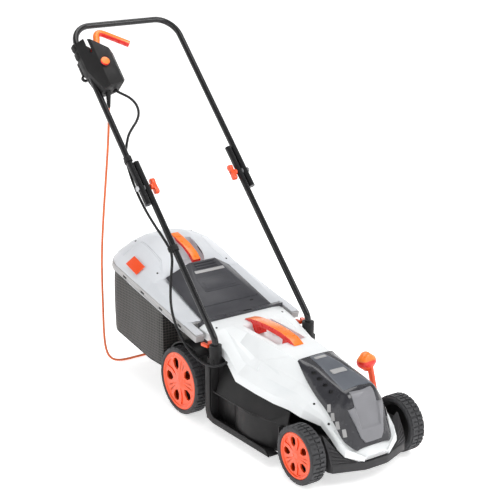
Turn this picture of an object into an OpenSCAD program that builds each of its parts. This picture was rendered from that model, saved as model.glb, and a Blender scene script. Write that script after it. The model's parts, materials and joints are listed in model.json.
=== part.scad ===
// Corded rotary lawn mower with a folding handle, central height lever and rear grass bag.
// +X is the operator's left, -Y is the nose, +Z is up, and the wheels stand on z = 0.

/* [Wheels] */
// Radius of the front wheels
front_r = 77; // [74:0.5:78]
// Radius of the rear wheels
rear_r = 96; // [92:0.5:97]
// Width of the front wheels
front_w = 46; // [42:1:46]
// Width of the rear wheels
rear_w = 48; // [44:1:48]
// Radius of the stub axles
stub_r = 6; // [5:0.5:6.5]

/* [Handle] */
// Diameter of the handle tubes
tube_d = 18; // [16:0.5:18.5]
// Wall of the handle tubes
tube_wall = 1.5; // [1:0.1:2.5]
// Slope of the handle above the ground
slope = 46; // [45.5:0.1:46.5]
// Length of the upper handle above the fold bolt
upper_len = 557; // [520:1:560]
// Half distance between the upper tubes
upper_x = 177; // [176.8:0.1:177.5]
// Half distance between the lower tubes
lower_x = 157; // [156.5:0.1:157.2]

/* [Cutting deck] */
// Inner radius of the blade chamber
chamber_r = 168; // [164:1:170]
// Tip radius of the blade, half the cutting width
blade_r = 160; // [150:1:160]
// Height of the deck's top plate
plate_z = 110; // [108:1:111]
// Wall of the moulded deck
wall = 4; // [3:0.5:5]

/* [Cord] */
// Diameter of the supply cord
cord_d = 7; // [6:0.5:7]
// Turns of the coil in one layer
coil_turns = 5.5; // [3.5:1:5.5]
// Layers of the coil
coil_layers = 4; // [2:2:4]

/* [Hidden] */
$fn = 48;
run_gap = 0.05;
light_grey = [0.82, 0.84, 0.85];
mid_grey = [0.5, 0.5, 0.52];
dark_grey = [0.24, 0.24, 0.27];
slate = [0.32, 0.34, 0.38];
black = [0.11, 0.11, 0.12];
orange = [1, 0.5, 0.12];
red_orange = [0.98, 0.3, 0.09];
steel = [0.7, 0.71, 0.73];

motor_y = -286;
shaft_r = 6;
front_axle_y = -511;
rear_axle_y = 19.5;
front_outer_x = 185;
rear_outer_x = 190;
crank_r = 45;
crank_deg = 17.5;
crank_dy = crank_r * cos(crank_deg);
crank_dz = crank_r * sin(crank_deg);
front_pivot = [front_axle_y + crank_dy, front_r - crank_dz];
rear_pivot = [rear_axle_y + crank_dy, rear_r - crank_dz];
pin_r = 65;
pin_off = [pin_r * sin(crank_deg), pin_r * cos(crank_deg)];
arm_x = 130;
arm_t = 5;
link_x = 125;
link_t = 4;

tube_r = tube_d / 2;
bolt_y = 217;
bolt_z = 606;
bolt_r = 4;
socket_y = -121;
socket_top = 242;
hinge_y = -10;
hinge_z = 266;
hinge_pin_r = 2.5;
rim_slope = 11.6;
rim_y0 = -52;
rim_z0 = 229;
rim_h = 20;
bag_end = 442;
bag_low = 92;
rail_x = 181;

coil_x = 98;
coil_y = 524;
coil_mean_r = 9 * cord_d;
coil_half = (coil_turns + 1) * cord_d / 2;

// Half sections of the light grey cover, from the centre line to the lower lip: y, then x and z pairs
COVER = [
    [-20, [[0, 265], [70, 265], [104, 265], [130, 263], [143, 256], [145, 238]]],
    [-75, [[0, 265], [70, 265], [99, 263], [120, 258], [137, 248], [139, 226]]],
    [-141, [[0, 264], [66, 264], [90, 240], [114, 230], [136, 222], [139, 201]]],
    [-205, [[0, 262], [62, 262], [86, 218], [116, 204], [144, 184], [150, 163]]],
    [-290, [[0, 258], [59, 258], [82, 212], [110, 196], [140, 176], [146, 157]]],
    [-359, [[0, 249], [55, 248], [82, 211], [106, 192], [132, 172], [138, 152]]],
    [-410, [[0, 240], [62, 222], [76, 206], [100, 190], [120, 176], [127, 150]]],
    [-459, [[0, 230], [66, 208], [82, 190], [102, 180], [118, 168], [127, 148]]],
    [-509, [[0, 220], [60, 194], [88, 164], [93, 160], [98, 152], [101, 136]]],
    [-545, [[0, 206], [62, 176], [84, 134], [90, 132], [95, 126], [97, 112]]],
    [-568, [[0, 150], [56, 128], [78, 106], [88, 114], [92, 108], [94, 92]]],
    [-588, [[0, 98], [48, 90], [66, 88], [80, 96], [84, 90], [85, 76]]],
    [-611, [[0, 73], [20, 73], [30, 73], [37, 73], [39, 70], [40, 61]]],
];

// Half sections of the dark motor panel, laid out in the same way
PANEL = [
    [-356, [[0, 256], [40, 255], [54, 254], [57, 252], [59, 251]]],
    [-410, [[0, 250], [44, 249], [60, 238], [68, 226], [71, 218]]],
    [-459, [[0, 241], [48, 238], [66, 220], [76, 206], [80, 196]]],
    [-509, [[0, 231], [50, 228], [64, 206], [78, 188], [84, 174]]],
    [-545, [[0, 221], [48, 215], [64, 192], [76, 166], [83, 144]]],
    [-568, [[0, 172], [44, 168], [60, 150], [70, 132], [77, 113]]],
    [-590, [[0, 116], [38, 112], [50, 106], [58, 102], [64, 96]]],
    [-597, [[0, 92], [28, 92], [40, 91], [46, 90], [52, 88]]],
];

// Half sections of the bag lid behind the flap's hinge
LID = [
    [9.5, [[0, 264.5], [60, 264.5], [110, 264.5], [150, 264.5], [174, 264]]],
    [60, [[0, 279], [60, 279], [108, 279], [150, 278], [174, 273]]],
    [120, [[0, 298], [60, 298], [106, 298], [150, 298], [174, 286]]],
    [186, [[0, 319], [60, 319], [106, 319], [150, 318], [174, 300]]],
    [205.5, [[0, 326], [60, 326], [106, 326], [150, 323], [174, 304]]],
    [212, [[0, 348], [50, 346], [100, 336], [150, 326], [174, 305]]],
    [250, [[0, 384], [50, 380], [100, 362], [150, 338], [174, 313]]],
    [300, [[0, 406], [50, 401], [100, 382], [150, 354], [174, 323]]],
    [337, [[0, 418], [50, 412], [100, 393], [150, 363], [173, 331]]],
    [376, [[0, 414], [50, 410], [100, 395], [150, 368], [173, 338]]],
    [411, [[0, 406], [48, 403], [96, 391], [143, 367], [163, 345]]],
    [430, [[0, 394], [42, 391], [86, 379], [128, 362], [147, 350]]],
    [441, [[0, 374], [34, 372], [68, 366], [98, 359], [114, 353]]],
];

// Route of the motor lead along the handle: X, distance up the slope, height off the tube's axis
LEAD_ON_HANDLE = [
    [-128, 330, 8], [-124, 318, 10], [-114, 304, 14], [-100, 288, 17.5], [-90, 268, 19.5],
    [-88, 246, 20], [-95, 224, 20], [-110, 204, 18.5], [-129, 187, 15], [-146, 170, 9.5],
    [-157, 152, 3], [-164, 134, -7], [-170.5, 118, -13], [-177, 104, -14.2], [-177, 96, -14.2],
    [-177, 88, -14.2], [-180, 66, -14], [-183, 42, -13.6], [-185, 10, -13.5], [-185, -30, -13.5],
    [-183, -70, -12.5], [-179, -115, -9], [-174, -155, -5], [-170.5, -192, -2], [-170.5, -208, -2],
];
// Route of the motor lead's free loop into the deck's corner: X, Y, Z
LEAD_FREE = [
    [-174, 64, 430], [-181, 60, 385], [-185, 58, 340], [-186, 52, 300], [-186, 34, 262],
    [-186, 2, 230], [-186, -36, 206], [-186, -76, 194], [-186, -112, 191], [-184, -138, 193],
    [-179, -158, 198], [-170, -172, 205], [-158, -179, 212],
];

// Route of the supply cord: strain relief, hang outboard of the bag, floor, coil
CORD = [
    [-150, 432, 795], [-150, 434, 770], [-151, 436, 730], [-154, 438, 680], [-159, 440, 620],
    [-165, 441, 560], [-171, 442, 500], [-177, 442, 440], [-182, 442, 380], [-185, 442, 320],
    [-186, 442, 260], [-186, 442, 200], [-186, 442, 140], [-185, 442, 95], [-181, 442, 58],
    [-172, 442, 31], [-156, 442, 14], [-134, 442, 6], [-108, 442, 3.5], [-75, 442, 3.5],
    [-40, 442, 3.5], [0, 442, 3.5], [40, 442, 3.5], [72, 442, 3.5],
];
TAIL = [
    [coil_x, coil_y - coil_mean_r - coil_half + cord_d / 2, cord_d * (coil_layers - 0.5)],
    [114, 440, 22], [126, 434, 16], [137, 429, 12],
];

// ---------- shared shapes ----------

// Draws its children on both sides of the symmetry plane
module both() {
    children();
    mirror([1, 0, 0]) children();
}

// Draws its children on the +X side for side = 1 and on the -X side for side = -1
module on_side(side) {
    if (side > 0) children();
    else mirror([1, 0, 0]) children();
}

// Cylinder along X from x0 to x1, centred on [y, z]
module x_cyl(x0, x1, at, r) {
    translate([x0, at[0], at[1]]) rotate([0, 90, 0]) cylinder(r = r, h = x1 - x0);
}

// Outline in Y and Z, extruded along X from x0 to x1
module x_plate(x0, x1, pts) {
    translate([x0, 0, 0]) rotate([90, 0, 90]) linear_extrude(x1 - x0) polygon(pts);
}

// Moves its children into the handle's frame: X across, Y up the slope, Z forward and up
module on_handle() {
    translate([0, bolt_y, bolt_z]) rotate([slope, 0, 0]) children();
}

// Mirrors a half section, running from one lip over the top to the other
function full(half) = concat(
    [for (i = [len(half) - 1:-1:1]) [-half[i][0], half[i][1]]],
    [for (p = half) p]
);

// Sections in order of falling y
function falling(s) = s[0][0] > s[len(s) - 1][0] ? s : [for (i = [len(s) - 1:-1:0]) s[i]];

// Closed solid through a list of sections, each [y, points], closed below at its lips
module loft(table, drop = 0, inset = 0, y_in = 0) {
    sections = falling(table);
    rows = [for (s = sections) full(s[1])];
    n = len(rows[0]);
    m = len(rows);
    function near(k) = k == 0 ? -y_in : (k == m - 1 ? y_in : 0);
    function side(x) = x > 1 ? x - inset : (x < -1 ? x + inset : x);
    pts = [for (k = [0:m - 1]) for (i = [0:n - 1])
        [side(rows[k][i][0]), sections[k][0] + near(k), i == 0 || i == n - 1
            ? rows[k][i][1] - drop : rows[k][i][1] - inset]];
    skin = [for (k = [0:m - 2]) for (i = [0:n - 1])
        let (a = k * n + i, b = k * n + (i + 1) % n)
        each [[a, b, b + n], [a, b + n, a + n]]];
    caps = [[for (i = [n - 1:-1:0]) i], [for (i = [0:n - 1]) (m - 1) * n + i]];
    polyhedron(points = pts, faces = concat(skin, caps));
}

// Tube swept along a list of points
function unit(v) = v / norm(v);
function heading(p, i) = unit(i == 0 ? p[1] - p[0]
    : (i == len(p) - 1 ? p[i] - p[i - 1] : unit(p[i + 1] - p[i]) + unit(p[i] - p[i - 1])));
function side_of(t) = unit(cross(t, abs(t[0]) < 0.8 ? [1, 0, 0] : [0, 1, 0]));
function carried(p, i) = i == 0 ? side_of(heading(p, 0))
    : let (t = heading(p, i), s = carried(p, i - 1)) unit(s - t * (s * t));
module sweep(p, r, sides) {
    pts = [for (i = [0:len(p) - 1])
        let (t = heading(p, i), u = carried(p, i), v = cross(t, u))
        for (k = [0:sides - 1]) p[i] + r * (cos(360 * k / sides) * u + sin(360 * k / sides) * v)];
    m = len(p);
    skin = [for (i = [0:m - 2]) for (k = [0:sides - 1])
        let (a = i * sides + k, b = i * sides + (k + 1) % sides)
        each [[a, b + sides, b], [a, a + sides, b + sides]]];
    caps = [[for (k = [0:sides - 1]) k], [for (k = [sides - 1:-1:0]) (m - 1) * sides + k]];
    polyhedron(points = pts, faces = concat(skin, caps));
}

// Smooth curve through a list of points, with steps pieces for each stretch
function at(p, i) = p[max(0, min(len(p) - 1, i))];
function spline(p, steps) = concat([for (i = [0:len(p) - 2]) for (k = [0:steps - 1])
    let (t = k / steps, a = at(p, i - 1), b = p[i], c = p[i + 1], d = at(p, i + 2))
    0.5 * (2 * b + (c - a) * t + (2 * a - 5 * b + 4 * c - d) * t * t
        + (3 * b - a - 3 * c + d) * t * t * t)], [p[len(p) - 1]]);

// ---------- deck and chassis ----------

nose_x = 124;
nose_y = -540;
skirt_z = 28;
mouth_y = 4;

module deck_plan() {
    x = 171;
    polygon([[-nose_x, nose_y], [-nose_x, -424], [-132, -424], [-160, -359], [-x, -300], [-x, -128],
        [-150, -128], [-150, -104], [150, -104], [150, -128], [x, -128], [x, -300], [160, -359],
        [132, -424], [nose_x, -424], [nose_x, nose_y]]);
}

// Side skin between the top plate and the cover's lip
module side_skin() {
    rows = [[-422, 140, 133, 147], [-359, 158, 139, 151], [-290, 170, 147, 156],
        [-205, 170, 151, 162], [-140, 170, 135.5, 200], [-129, 160, 135.5, 200]];
    pts = [for (r = rows) each [[r[1], r[0], plate_z + 1], [r[1] - wall, r[0], plate_z + 1],
        [r[2] - wall, r[0], r[3]], [r[2], r[0], r[3]]]];
    m = len(rows);
    skin = [for (k = [0:m - 2]) for (i = [0:3])
        let (a = k * 4 + i, b = k * 4 + (i + 1) % 4)
        each [[a, b + 4, b], [a, a + 4, b + 4]]];
    polyhedron(points = pts, faces = concat(skin, [[0, 1, 2, 3]], [[for (i = [3:-1:0]) (m - 1) * 4 + i]]));
}

// Arch over the inner part of a rear wheel
module wheel_arch() {
    arch_r = rear_r + 7;
    difference() {
        x_cyl(120.5, 160, [rear_axle_y, rear_r], arch_r + wall);
        x_cyl(120, 161, [rear_axle_y, rear_r], arch_r);
        translate([119, rear_axle_y - 150, -20]) cube([50, 300, 108]);
        translate([119, rear_axle_y - 220, -20]) cube([50, 160, 260]);
    }
}

tunnel_x = 120;

// Space that the grass passes through from the chamber to the tunnel
module grass_way() {
    x_plate(-tunnel_x, tunnel_x, [[-200, 62], [-118, 62], [-118, 60.8], [-100, 67.5], [-100, 173],
        [-148, 113], [-200, 109]]);
}

module deck() {
    color(black) difference() {
        union() {
            translate([0, 0, plate_z]) linear_extrude(wall) deck_plan();
            // nose box
            translate([-nose_x, nose_y, 40]) cube([2 * nose_x, wall, plate_z - 39]);
            both() translate([tunnel_x, nose_y, 40]) cube([wall, 112, plate_z - 39]);
            // pillar and side skin
            both() translate([150, -128, plate_z]) cube([26.4, 24, 188 - plate_z]);
            both() side_skin();
        }
        x_plate(-tunnel_x, tunnel_x, [[-149, plate_z - 1], [-100, plate_z - 1], [-100, plate_z + wall + 1],
            [-149, plate_z + wall + 1]]);
        translate([0, motor_y, plate_z - 1]) cylinder(r = 17, h = wall + 2);
        x_cyl(-nose_x - 1, nose_x + 1, front_pivot, stub_r + 1.5);
    }
}

// Round wall of the blade chamber, with the flanges that carry the side rails
module blade_chamber() {
    color(black) difference() {
        union() {
            translate([0, motor_y, skirt_z]) cylinder(r = chamber_r + wall, h = plate_z - skirt_z, $fn = 96);
            both() translate([150, -399, skirt_z]) cube([26.4, 290, wall]);
            both() translate([150, -128, skirt_z]) cube([26.4, 24, plate_z - skirt_z]);
            both() translate([126, -408, skirt_z]) cube([30, wall, plate_z - skirt_z]);
        }
        translate([0, motor_y, skirt_z - 1]) cylinder(r = chamber_r, h = plate_z - skirt_z + 2, $fn = 96);
        grass_way();
        x_plate(-nose_x, nose_x, [[-152, 55], [-90, 55], [-90, plate_z + 1], [-152, plate_z + 1]]);
    }
}

// Discharge tunnel with the arches over the rear wheels
module discharge_chute() {
    color(black) difference() {
        union() {
            both() x_plate(tunnel_x, nose_x, [[-150, 56], [mouth_y, 60], [mouth_y, 228], [-60, 228],
                [-150, 116]]);
            x_plate(-tunnel_x - 1, tunnel_x + 1, [[-120, 56], [mouth_y, 100], [mouth_y, 104], [-120, 60]]);
            x_plate(-tunnel_x - 1, tunnel_x + 1, [[-150, 111], [-60, 224], [mouth_y, 224], [mouth_y, 228],
                [-62, 228], [-152, 114]]);
            translate([-nose_x, 0, 60]) cube([2 * nose_x, mouth_y, 42]);
            both() wheel_arch();
        }
        grass_way();
        translate([-200, -160, plate_z]) cube([400, 56, wall]);
    }
}

module side_rails() {
    rail = [[-104, 184], [-126, 184], [-126, 72], [-128, 60], [-134, 50], [-144, 44], [-340, 43], [-380, 42],
        [-399, 26], [-140, 25], [-122, 29], [-110, 38], [-104, 52]];
    color(black) both() x_plate(176.5, rail_x, rail);
}

module front_bumper() {
    outer = [[-nose_x, nose_y - 0.4], [-nose_x, -570], [-118, -582], [-40, -611], [-30, -613], [30, -613],
        [40, -611], [118, -582], [nose_x, -570], [nose_x, nose_y - 0.4]];
    inner = [[-nose_x + 7, nose_y], [-nose_x + 7, -567], [-113, -575], [-38, -603], [38, -603],
        [113, -575], [nose_x - 7, -567], [nose_x - 7, nose_y]];
    color(black) union() {
        translate([0, 0, 38]) linear_extrude(21) difference() {
            polygon(outer);
            polygon(inner);
        }
        both() hull() {
            translate([46, -608, 57]) cube([2, 2, 2]);
            translate([91, -588, 57]) cube([2, 2, 18]);
            translate([120, -579, 57]) cube([2, 4, 6]);
            translate([95, -577, 57]) cube([2, 2, 22]);
        }
        both() hull() {
            translate([91, -588, 57]) cube([2, 2, 18]);
            translate([120, -579, 57]) cube([2, 4, 6]);
            translate([101, -546, 58]) cube([2, 5, 46]);
            translate([122, -546, 58]) cube([2, 5, 70]);
            translate([122, -568, 58]) cube([2, 4, 34]);
        }
    }
}

handle_pocket = [[-262, -85], 50, 228];
pocket_floor = [[-232, -115], 34];

// Finger pocket under the carry handle, grown by g
module pocket(g) {
    hull() {
        translate([-handle_pocket[1] - g, handle_pocket[0][0] - g, 268])
            cube([2 * (handle_pocket[1] + g), handle_pocket[0][1] - handle_pocket[0][0] + 2 * g, 2]);
        translate([-pocket_floor[1] - g, pocket_floor[0][0] - g, handle_pocket[2] - g])
            cube([2 * (pocket_floor[1] + g), pocket_floor[0][1] - pocket_floor[0][0] + 2 * g, 2]);
    }
}

module top_cover() {
    color(light_grey) difference() {
        union() {
            difference() {
                loft(COVER);
                loft(COVER, drop = 30, inset = 3, y_in = 3);
            }
            intersection() {
                loft(COVER, drop = 0);
                pocket(2.5);
            }
        }
        pocket(0);
    }
}

module motor_panel() {
    color(dark_grey) difference() {
        loft(PANEL, drop = 0);
        loft(PANEL, drop = 8, inset = 2.6, y_in = 2.6);
        loft(COVER, drop = 0);
    }
}

// Raised grey U frame and boss on the panel's front face
module front_boss() {
    color(mid_grey) difference() {
        hull() {
            x_plate(-34, 34, [[-548, 222], [-556, 218], [-580, 150], [-601, 104], [-600, 98], [-594, 104]]);
            x_plate(-22, 22, [[-540, 226], [-552, 226], [-578, 160], [-604, 106]]);
        }
        loft(PANEL, drop = 40, inset = -0.4, y_in = -0.4);
    }
}

// Plate along the top of the panel, with two light trims laid on it
module slate_plate() {
    color(slate) difference() {
        x_plate(-28, 28, [[-362, 262], [-410, 257], [-459, 248], [-530, 234], [-530, 210], [-362, 240]]);
        loft(PANEL, drop = 40, inset = -0.3, y_in = -3);
    }
    color(light_grey) {
        x_plate(-17, 17, [[-368, 261.8], [-392, 259.3], [-392, 261], [-368, 263.6]]);
        x_plate(-17, 17, [[-440, 252], [-462, 248], [-462, 249.8], [-440, 253.8]]);
    }
}

module carry_handle() {
    arch = [[-286, 259], [-278, 264], [-262, 272], [-220, 279], [-170, 281], [-120, 279], [-84, 275],
        [-62, 270], [-56, 266], [-56, 265.4], [-84, 265.4], [-103, 241], [-119, 241], [-114, 261],
        [-122, 264], [-170, 266], [-216, 264], [-232, 261], [-228, 241], [-243, 241], [-262, 259]];
    color(orange) x_plate(-15, 15, arch);
}

module hinge_bar() {
    ear_at = [-110, -48, 38, 100];
    color(dark_grey) {
        difference() {
            union() {
                translate([-143, -19.6, 256]) cube([286, 3.2, 15]);
                for (x = ear_at) translate([x, -19.6, 261]) cube([10, 12, 10]);
            }
            x_cyl(-116, 116, [hinge_y, hinge_z], hinge_pin_r);
        }
    }
    color(steel) x_cyl(-112, 112, [hinge_y, hinge_z], hinge_pin_r);
}

module handle_sockets() {
    color(black) both() difference() {
        union() {
            translate([lower_x, socket_y, 188.6]) cylinder(r = 17, h = socket_top - 188.6);
            translate([lower_x - 16.4, socket_y - 13, 188.6]) cube([32.4, 29, 16]);
        }
        translate([lower_x, socket_y, 194]) cylinder(r = tube_r + 0.3, h = 60);
        translate([lower_x, socket_y, 233]) rotate([-90, 0, 0]) cylinder(r = 3 + run_gap, h = 30);
    }
}

module lower_tube(side) {
    knee = (socket_y - bolt_y) / cos(slope);
    knee_z = bolt_z + knee * sin(slope);
    bore_from = knee + 30;
    color(black) on_side(side) difference() {
        union() {
            on_handle() translate([lower_x, knee, 0]) rotate([-90, 0, 0]) cylinder(r = tube_r, h = 84 - knee);
            translate([lower_x, socket_y, 195]) cylinder(r = tube_r, h = knee_z - 195);
            // swaged elbow
            translate([lower_x, socket_y, knee_z]) sphere(r = tube_r + 0.4);
        }
        on_handle() translate([lower_x, bore_from, 0]) rotate([-90, 0, 0])
            cylinder(r = tube_r - tube_wall, h = 85 - bore_from);
        x_cyl(lower_x - 20, lower_x + 20, [bolt_y, bolt_z], bolt_r + run_gap);
        translate([lower_x, socket_y, 233]) rotate([-90, 0, 0]) cylinder(r = 3 + run_gap, h = 30);
    }
}
module lower_tube_left() { lower_tube(1); }
module lower_tube_right() { lower_tube(-1); }

// Carriage bolts of the handle fold, each with a spacer between the tubes
module fold_bolts() {
    head_x = upper_x + tube_r + 0.3;
    spacer_x = lower_x + tube_r + 0.3;
    color(steel) both() {
        x_cyl(129, head_x + 1, [bolt_y, bolt_z], bolt_r);
        x_cyl(head_x, head_x + 3.2, [bolt_y, bolt_z], 8);
    }
    color(black) both() difference() {
        x_cyl(spacer_x, upper_x - tube_r - 0.3, [bolt_y, bolt_z], 8);
        x_cyl(spacer_x - 1, upper_x, [bolt_y, bolt_z], bolt_r + run_gap);
    }
}

// ---------- motor and blade ----------

can_r = 58;
can_z0 = plate_z + wall + 0.3;
can_z1 = 208;
bearing_r = 16;

module motor_housing() {
    color(dark_grey) translate([0, motor_y, 0]) difference() {
        translate([0, 0, can_z0]) cylinder(r = can_r, h = can_z1 - can_z0);
        translate([0, 0, can_z0 + 9]) cylinder(r = can_r - 4, h = 73);
        translate([0, 0, can_z0 - 1]) cylinder(r = bearing_r, h = 11);
        translate([0, 0, can_z0 + 81]) cylinder(r = bearing_r, h = 10.1);
    }
}

module motor_stator() {
    color([0.45, 0.3, 0.2]) translate([0, motor_y, 136]) difference() {
        cylinder(r = can_r - 4, h = 50);
        translate([0, 0, -1]) cylinder(r = 36, h = 52);
    }
}

module motor_bearings() {
    color(steel) for (z = [can_z0, can_z0 + 82]) translate([0, motor_y, z]) difference() {
        cylinder(r = bearing_r, h = 9);
        translate([0, 0, -1]) cylinder(r = shaft_r + run_gap, h = 11);
    }
}

blade_top = 50;
module motor_rotor() {
    color(steel) translate([0, motor_y, 0]) {
        translate([0, 0, blade_top]) cylinder(r = shaft_r, h = 204.5 - blade_top);
        translate([0, 0, 132]) cylinder(r = 34, h = 58);
    }
}

module cooling_fan() {
    color(black) translate([0, motor_y, 0]) difference() {
        union() {
            translate([0, 0, 50]) cylinder(r = 16, h = 30);
            translate([0, 0, 50]) cylinder(r = 52, h = 3);
            for (a = [0:45:315]) rotate([0, 0, a]) translate([14, -1, 51]) cube([37, 2, 24]);
        }
        translate([0, 0, 43]) cylinder(r = shaft_r + run_gap, h = 40);
    }
}

module blade() {
    tip = 46;
    half_w = 21;
    color(steel) translate([0, motor_y, 46]) difference() {
        union() {
            linear_extrude(3.5) polygon([[-blade_r + 8, -half_w], [blade_r - tip, -half_w],
                [blade_r - 1, -half_w + 8], [blade_r - 4, half_w], [blade_r - 8, half_w],
                [-blade_r + tip, half_w], [-blade_r + 1, half_w - 8],
                [-blade_r + 4, -half_w]]);
            for (a = [0, 180]) rotate([0, 0, a]) translate([blade_r - tip, half_w - 5, 1])
                cube([tip - 10, 5, 12]);
        }
        translate([0, 0, -1]) cylinder(r = 5 + run_gap, h = 6);
    }
}

module blade_bolt() {
    color(steel) translate([0, motor_y, 0]) {
        translate([0, 0, 38]) cylinder(r = 11, h = 5, $fn = 6);
        translate([0, 0, 42.9]) cylinder(r = 14, h = 3);
        translate([0, 0, 45.8]) cylinder(r = 5, h = blade_top - 45.8);
    }
}

// ---------- height adjustment ----------

module crank(pivot, hub_x) {
    stub_at = [pivot[0] - crank_dy, pivot[1] + crank_dz];
    pin_at = pivot + pin_off;
    x_cyl(-arm_x - 1, arm_x + 1, pivot, stub_r);
    both() {
        x_cyl(arm_x, arm_x + arm_t, pivot, 10);
        x_cyl(arm_x, arm_x + arm_t, stub_at, 10);
        translate([arm_x, pivot[0], pivot[1]]) rotate([180 - crank_deg, 0, 0])
            translate([0, 0, -7]) cube([arm_t, crank_r, 14]);
        x_cyl(arm_x + 1, hub_x, stub_at, stub_r);
        x_cyl(hub_x - 3, hub_x, stub_at, stub_r + 3);
    }
    // arm and pin of the link rod
    translate([arm_x, pivot[0], pivot[1]]) rotate([90 - crank_deg, 0, 0])
        translate([0, 0, -6]) cube([arm_t, pin_r, 12]);
    x_cyl(arm_x, arm_x + arm_t, pin_at, 8);
    x_cyl(link_x - 0.5, arm_x + 1, pin_at, 3);
}

stub_end = 15;

module front_axle() {
    color(steel) {
        crank(front_pivot, front_outer_x - stub_end);
        translate([arm_x, front_pivot[0], front_pivot[1]]) rotate([90 - crank_deg, 0, 0])
            translate([0, pin_r, -4]) cube([arm_t, 75, 8]);
    }
}

module rear_axle() {
    color(steel) crank(rear_pivot, rear_outer_x - stub_end);
}

// Moulded sleeve and paddle on the front crank's arm
module height_lever() {
    color(red_orange) translate([arm_x, front_pivot[0], front_pivot[1]]) rotate([90 - crank_deg, 0, 0])
        difference() {
            union() {
                translate([-1.4, 82, -8]) cube([arm_t + 2.8, 78, 16]);
                translate([0, 170, -9]) hull() {
                    for (x = [-11, 11]) translate([x, 0, 0]) sphere(r = 18, $fn = 24);
                    for (y = [-10, 10]) translate([0, y, 0]) sphere(r = 17, $fn = 24);
                }
            }
            translate([-0.1, 70, -4.1]) cube([arm_t + 0.2, 70.4, 8.2]);
        }
}

module link_rod() {
    front_pin = front_pivot + pin_off;
    rear_pin = rear_pivot + pin_off;
    run = rear_pin - front_pin;
    color(steel) difference() {
        union() {
            for (p = [front_pin, rear_pin]) x_cyl(link_x, link_x + link_t, p, 6.5);
            translate([link_x, front_pin[0], front_pin[1]]) rotate([atan2(run[1], run[0]), 0, 0])
                translate([0, 0, -4]) cube([link_t, norm(run), 8]);
        }
        x_cyl(link_x - 1, link_x + link_t + 1, front_pin, 3 + run_gap);
        x_cyl(link_x - 1, link_x + link_t + 1, rear_pin, 3.3);
    }
}

// Bearing lugs of both cranks
module axle_bearings() {
    z_top = plate_z - 0.3;
    color(black) both() difference() {
        union() {
            translate([104, front_pivot[0] - 14, front_pivot[1] - 12])
                cube([12, 28, z_top - front_pivot[1] + 12]);
            x_plate(104, 116, [[mouth_y + 0.3, 62], [rear_pivot[0], rear_pivot[1] - 12],
                [rear_pivot[0] + 11, rear_pivot[1] - 8],
                [rear_pivot[0] + 11, rear_pivot[1] + 9], [rear_pivot[0] - 4, 93], [mouth_y + 0.3, 93]]);
        }
        x_cyl(100, 120, front_pivot, stub_r + run_gap);
        x_cyl(100, 120, rear_pivot, stub_r + run_gap);
    }
}

// ---------- wheels ----------

module on_wheel(side, front) {
    on_side(side) translate([front ? front_outer_x : rear_outer_x, front ? front_axle_y : rear_axle_y,
        front ? front_r : rear_r]) rotate([0, -90, 0]) children();
}

// Tyre on the wheel's own axis, from its outer face inwards
module tyre(r, w, bore) {
    rotate_extrude($fn = 96)
        polygon([[bore, 3], [r - 7, 0], [r - 2, 2.5], [r, 7], [r, w - 5], [r - 4, w], [bore, w]]);
}

// Rim with five windows round a blind hub
module rim(r, w) {
    window_r = r * 0.62;
    difference() {
        union() {
            difference() {
                translate([0, 0, 3]) cylinder(r = r - 0.05, h = w - 4);
                translate([0, 0, 9]) cylinder(r = r - 5, h = w);
                translate([0, 0, 2]) cylinder(r = r - 6, h = 3.5);
            }
            translate([0, 0, 4]) cylinder(r = 15, h = w - 5);
        }
        translate([0, 0, stub_end - 0.4]) cylinder(r = stub_r + run_gap, h = w);
        translate([0, 0, stub_end - 0.4]) cylinder(r = stub_r + 3.5, h = 3.8);
        for (a = [0:72:288]) rotate([0, 0, a]) translate([window_r, 0, 3]) rotate([0, 0, 30])
            cylinder(r = r * 0.25, h = 8, $fn = 6);
    }
}

module tyre_front_left() { color(black) on_wheel(1, true) tyre(front_r, front_w, front_r - 16); }
module tyre_front_right() { color(black) on_wheel(-1, true) tyre(front_r, front_w, front_r - 16); }
module tyre_rear_left() { color(black) on_wheel(1, false) tyre(rear_r, rear_w, rear_r - 14); }
module tyre_rear_right() { color(black) on_wheel(-1, false) tyre(rear_r, rear_w, rear_r - 14); }
module rim_front_left() { color(red_orange) on_wheel(1, true) rim(front_r - 16, front_w); }
module rim_front_right() { color(red_orange) on_wheel(-1, true) rim(front_r - 16, front_w); }
module rim_rear_left() { color(red_orange) on_wheel(1, false) rim(rear_r - 14, rear_w); }
module rim_rear_right() { color(red_orange) on_wheel(-1, false) rim(rear_r - 14, rear_w); }

// ---------- upper handle ----------

bend_r = 65;

module upper_handle() {
    leg_top = upper_len - bend_r;
    bar_x = upper_x - bend_r;
    color(black) on_handle() difference() {
        union() {
            both() {
                translate([upper_x, -55, 0]) rotate([-90, 0, 0]) cylinder(r = tube_r, h = leg_top + 55);
                translate([bar_x, leg_top, 0]) rotate_extrude(angle = 90)
                    translate([bend_r, 0]) circle(tube_r);
            }
            translate([-bar_x, upper_len, 0]) rotate([0, 90, 0]) cylinder(r = tube_r, h = 2 * bar_x);
        }
        both() translate([upper_x, -56, 0]) rotate([-90, 0, 0])
            cylinder(r = tube_r - tube_wall, h = leg_top + 50);
        both() translate([upper_x - 20, 0, 0]) rotate([0, 90, 0]) cylinder(r = bolt_r + run_gap, h = 40);
    }
}

box_section = [[-189, -14], [-189, 12], [-158, 48], [-116, 54], [-104, 44], [-104, 2], [-140, -14]];
box_face = [[-189, 490], [-172, 492], [-112, 436], [-104, 424], [-104, 332], [-112, 322], [-172, 316],
    [-189, 396]];
hub_at = [-140, 455, 28];
relief_at = [-150, 432, 796];
lever_pin_r = 3;

module box_body(grow) {
    intersection() {
        translate([0, 300, 0]) rotate([-90, 0, 0]) mirror([0, 1, 0]) linear_extrude(220) offset(delta = grow)
            polygon(box_section);
        translate([0, 0, -60]) linear_extrude(140) offset(delta = grow) polygon(box_face);
    }
}

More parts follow.
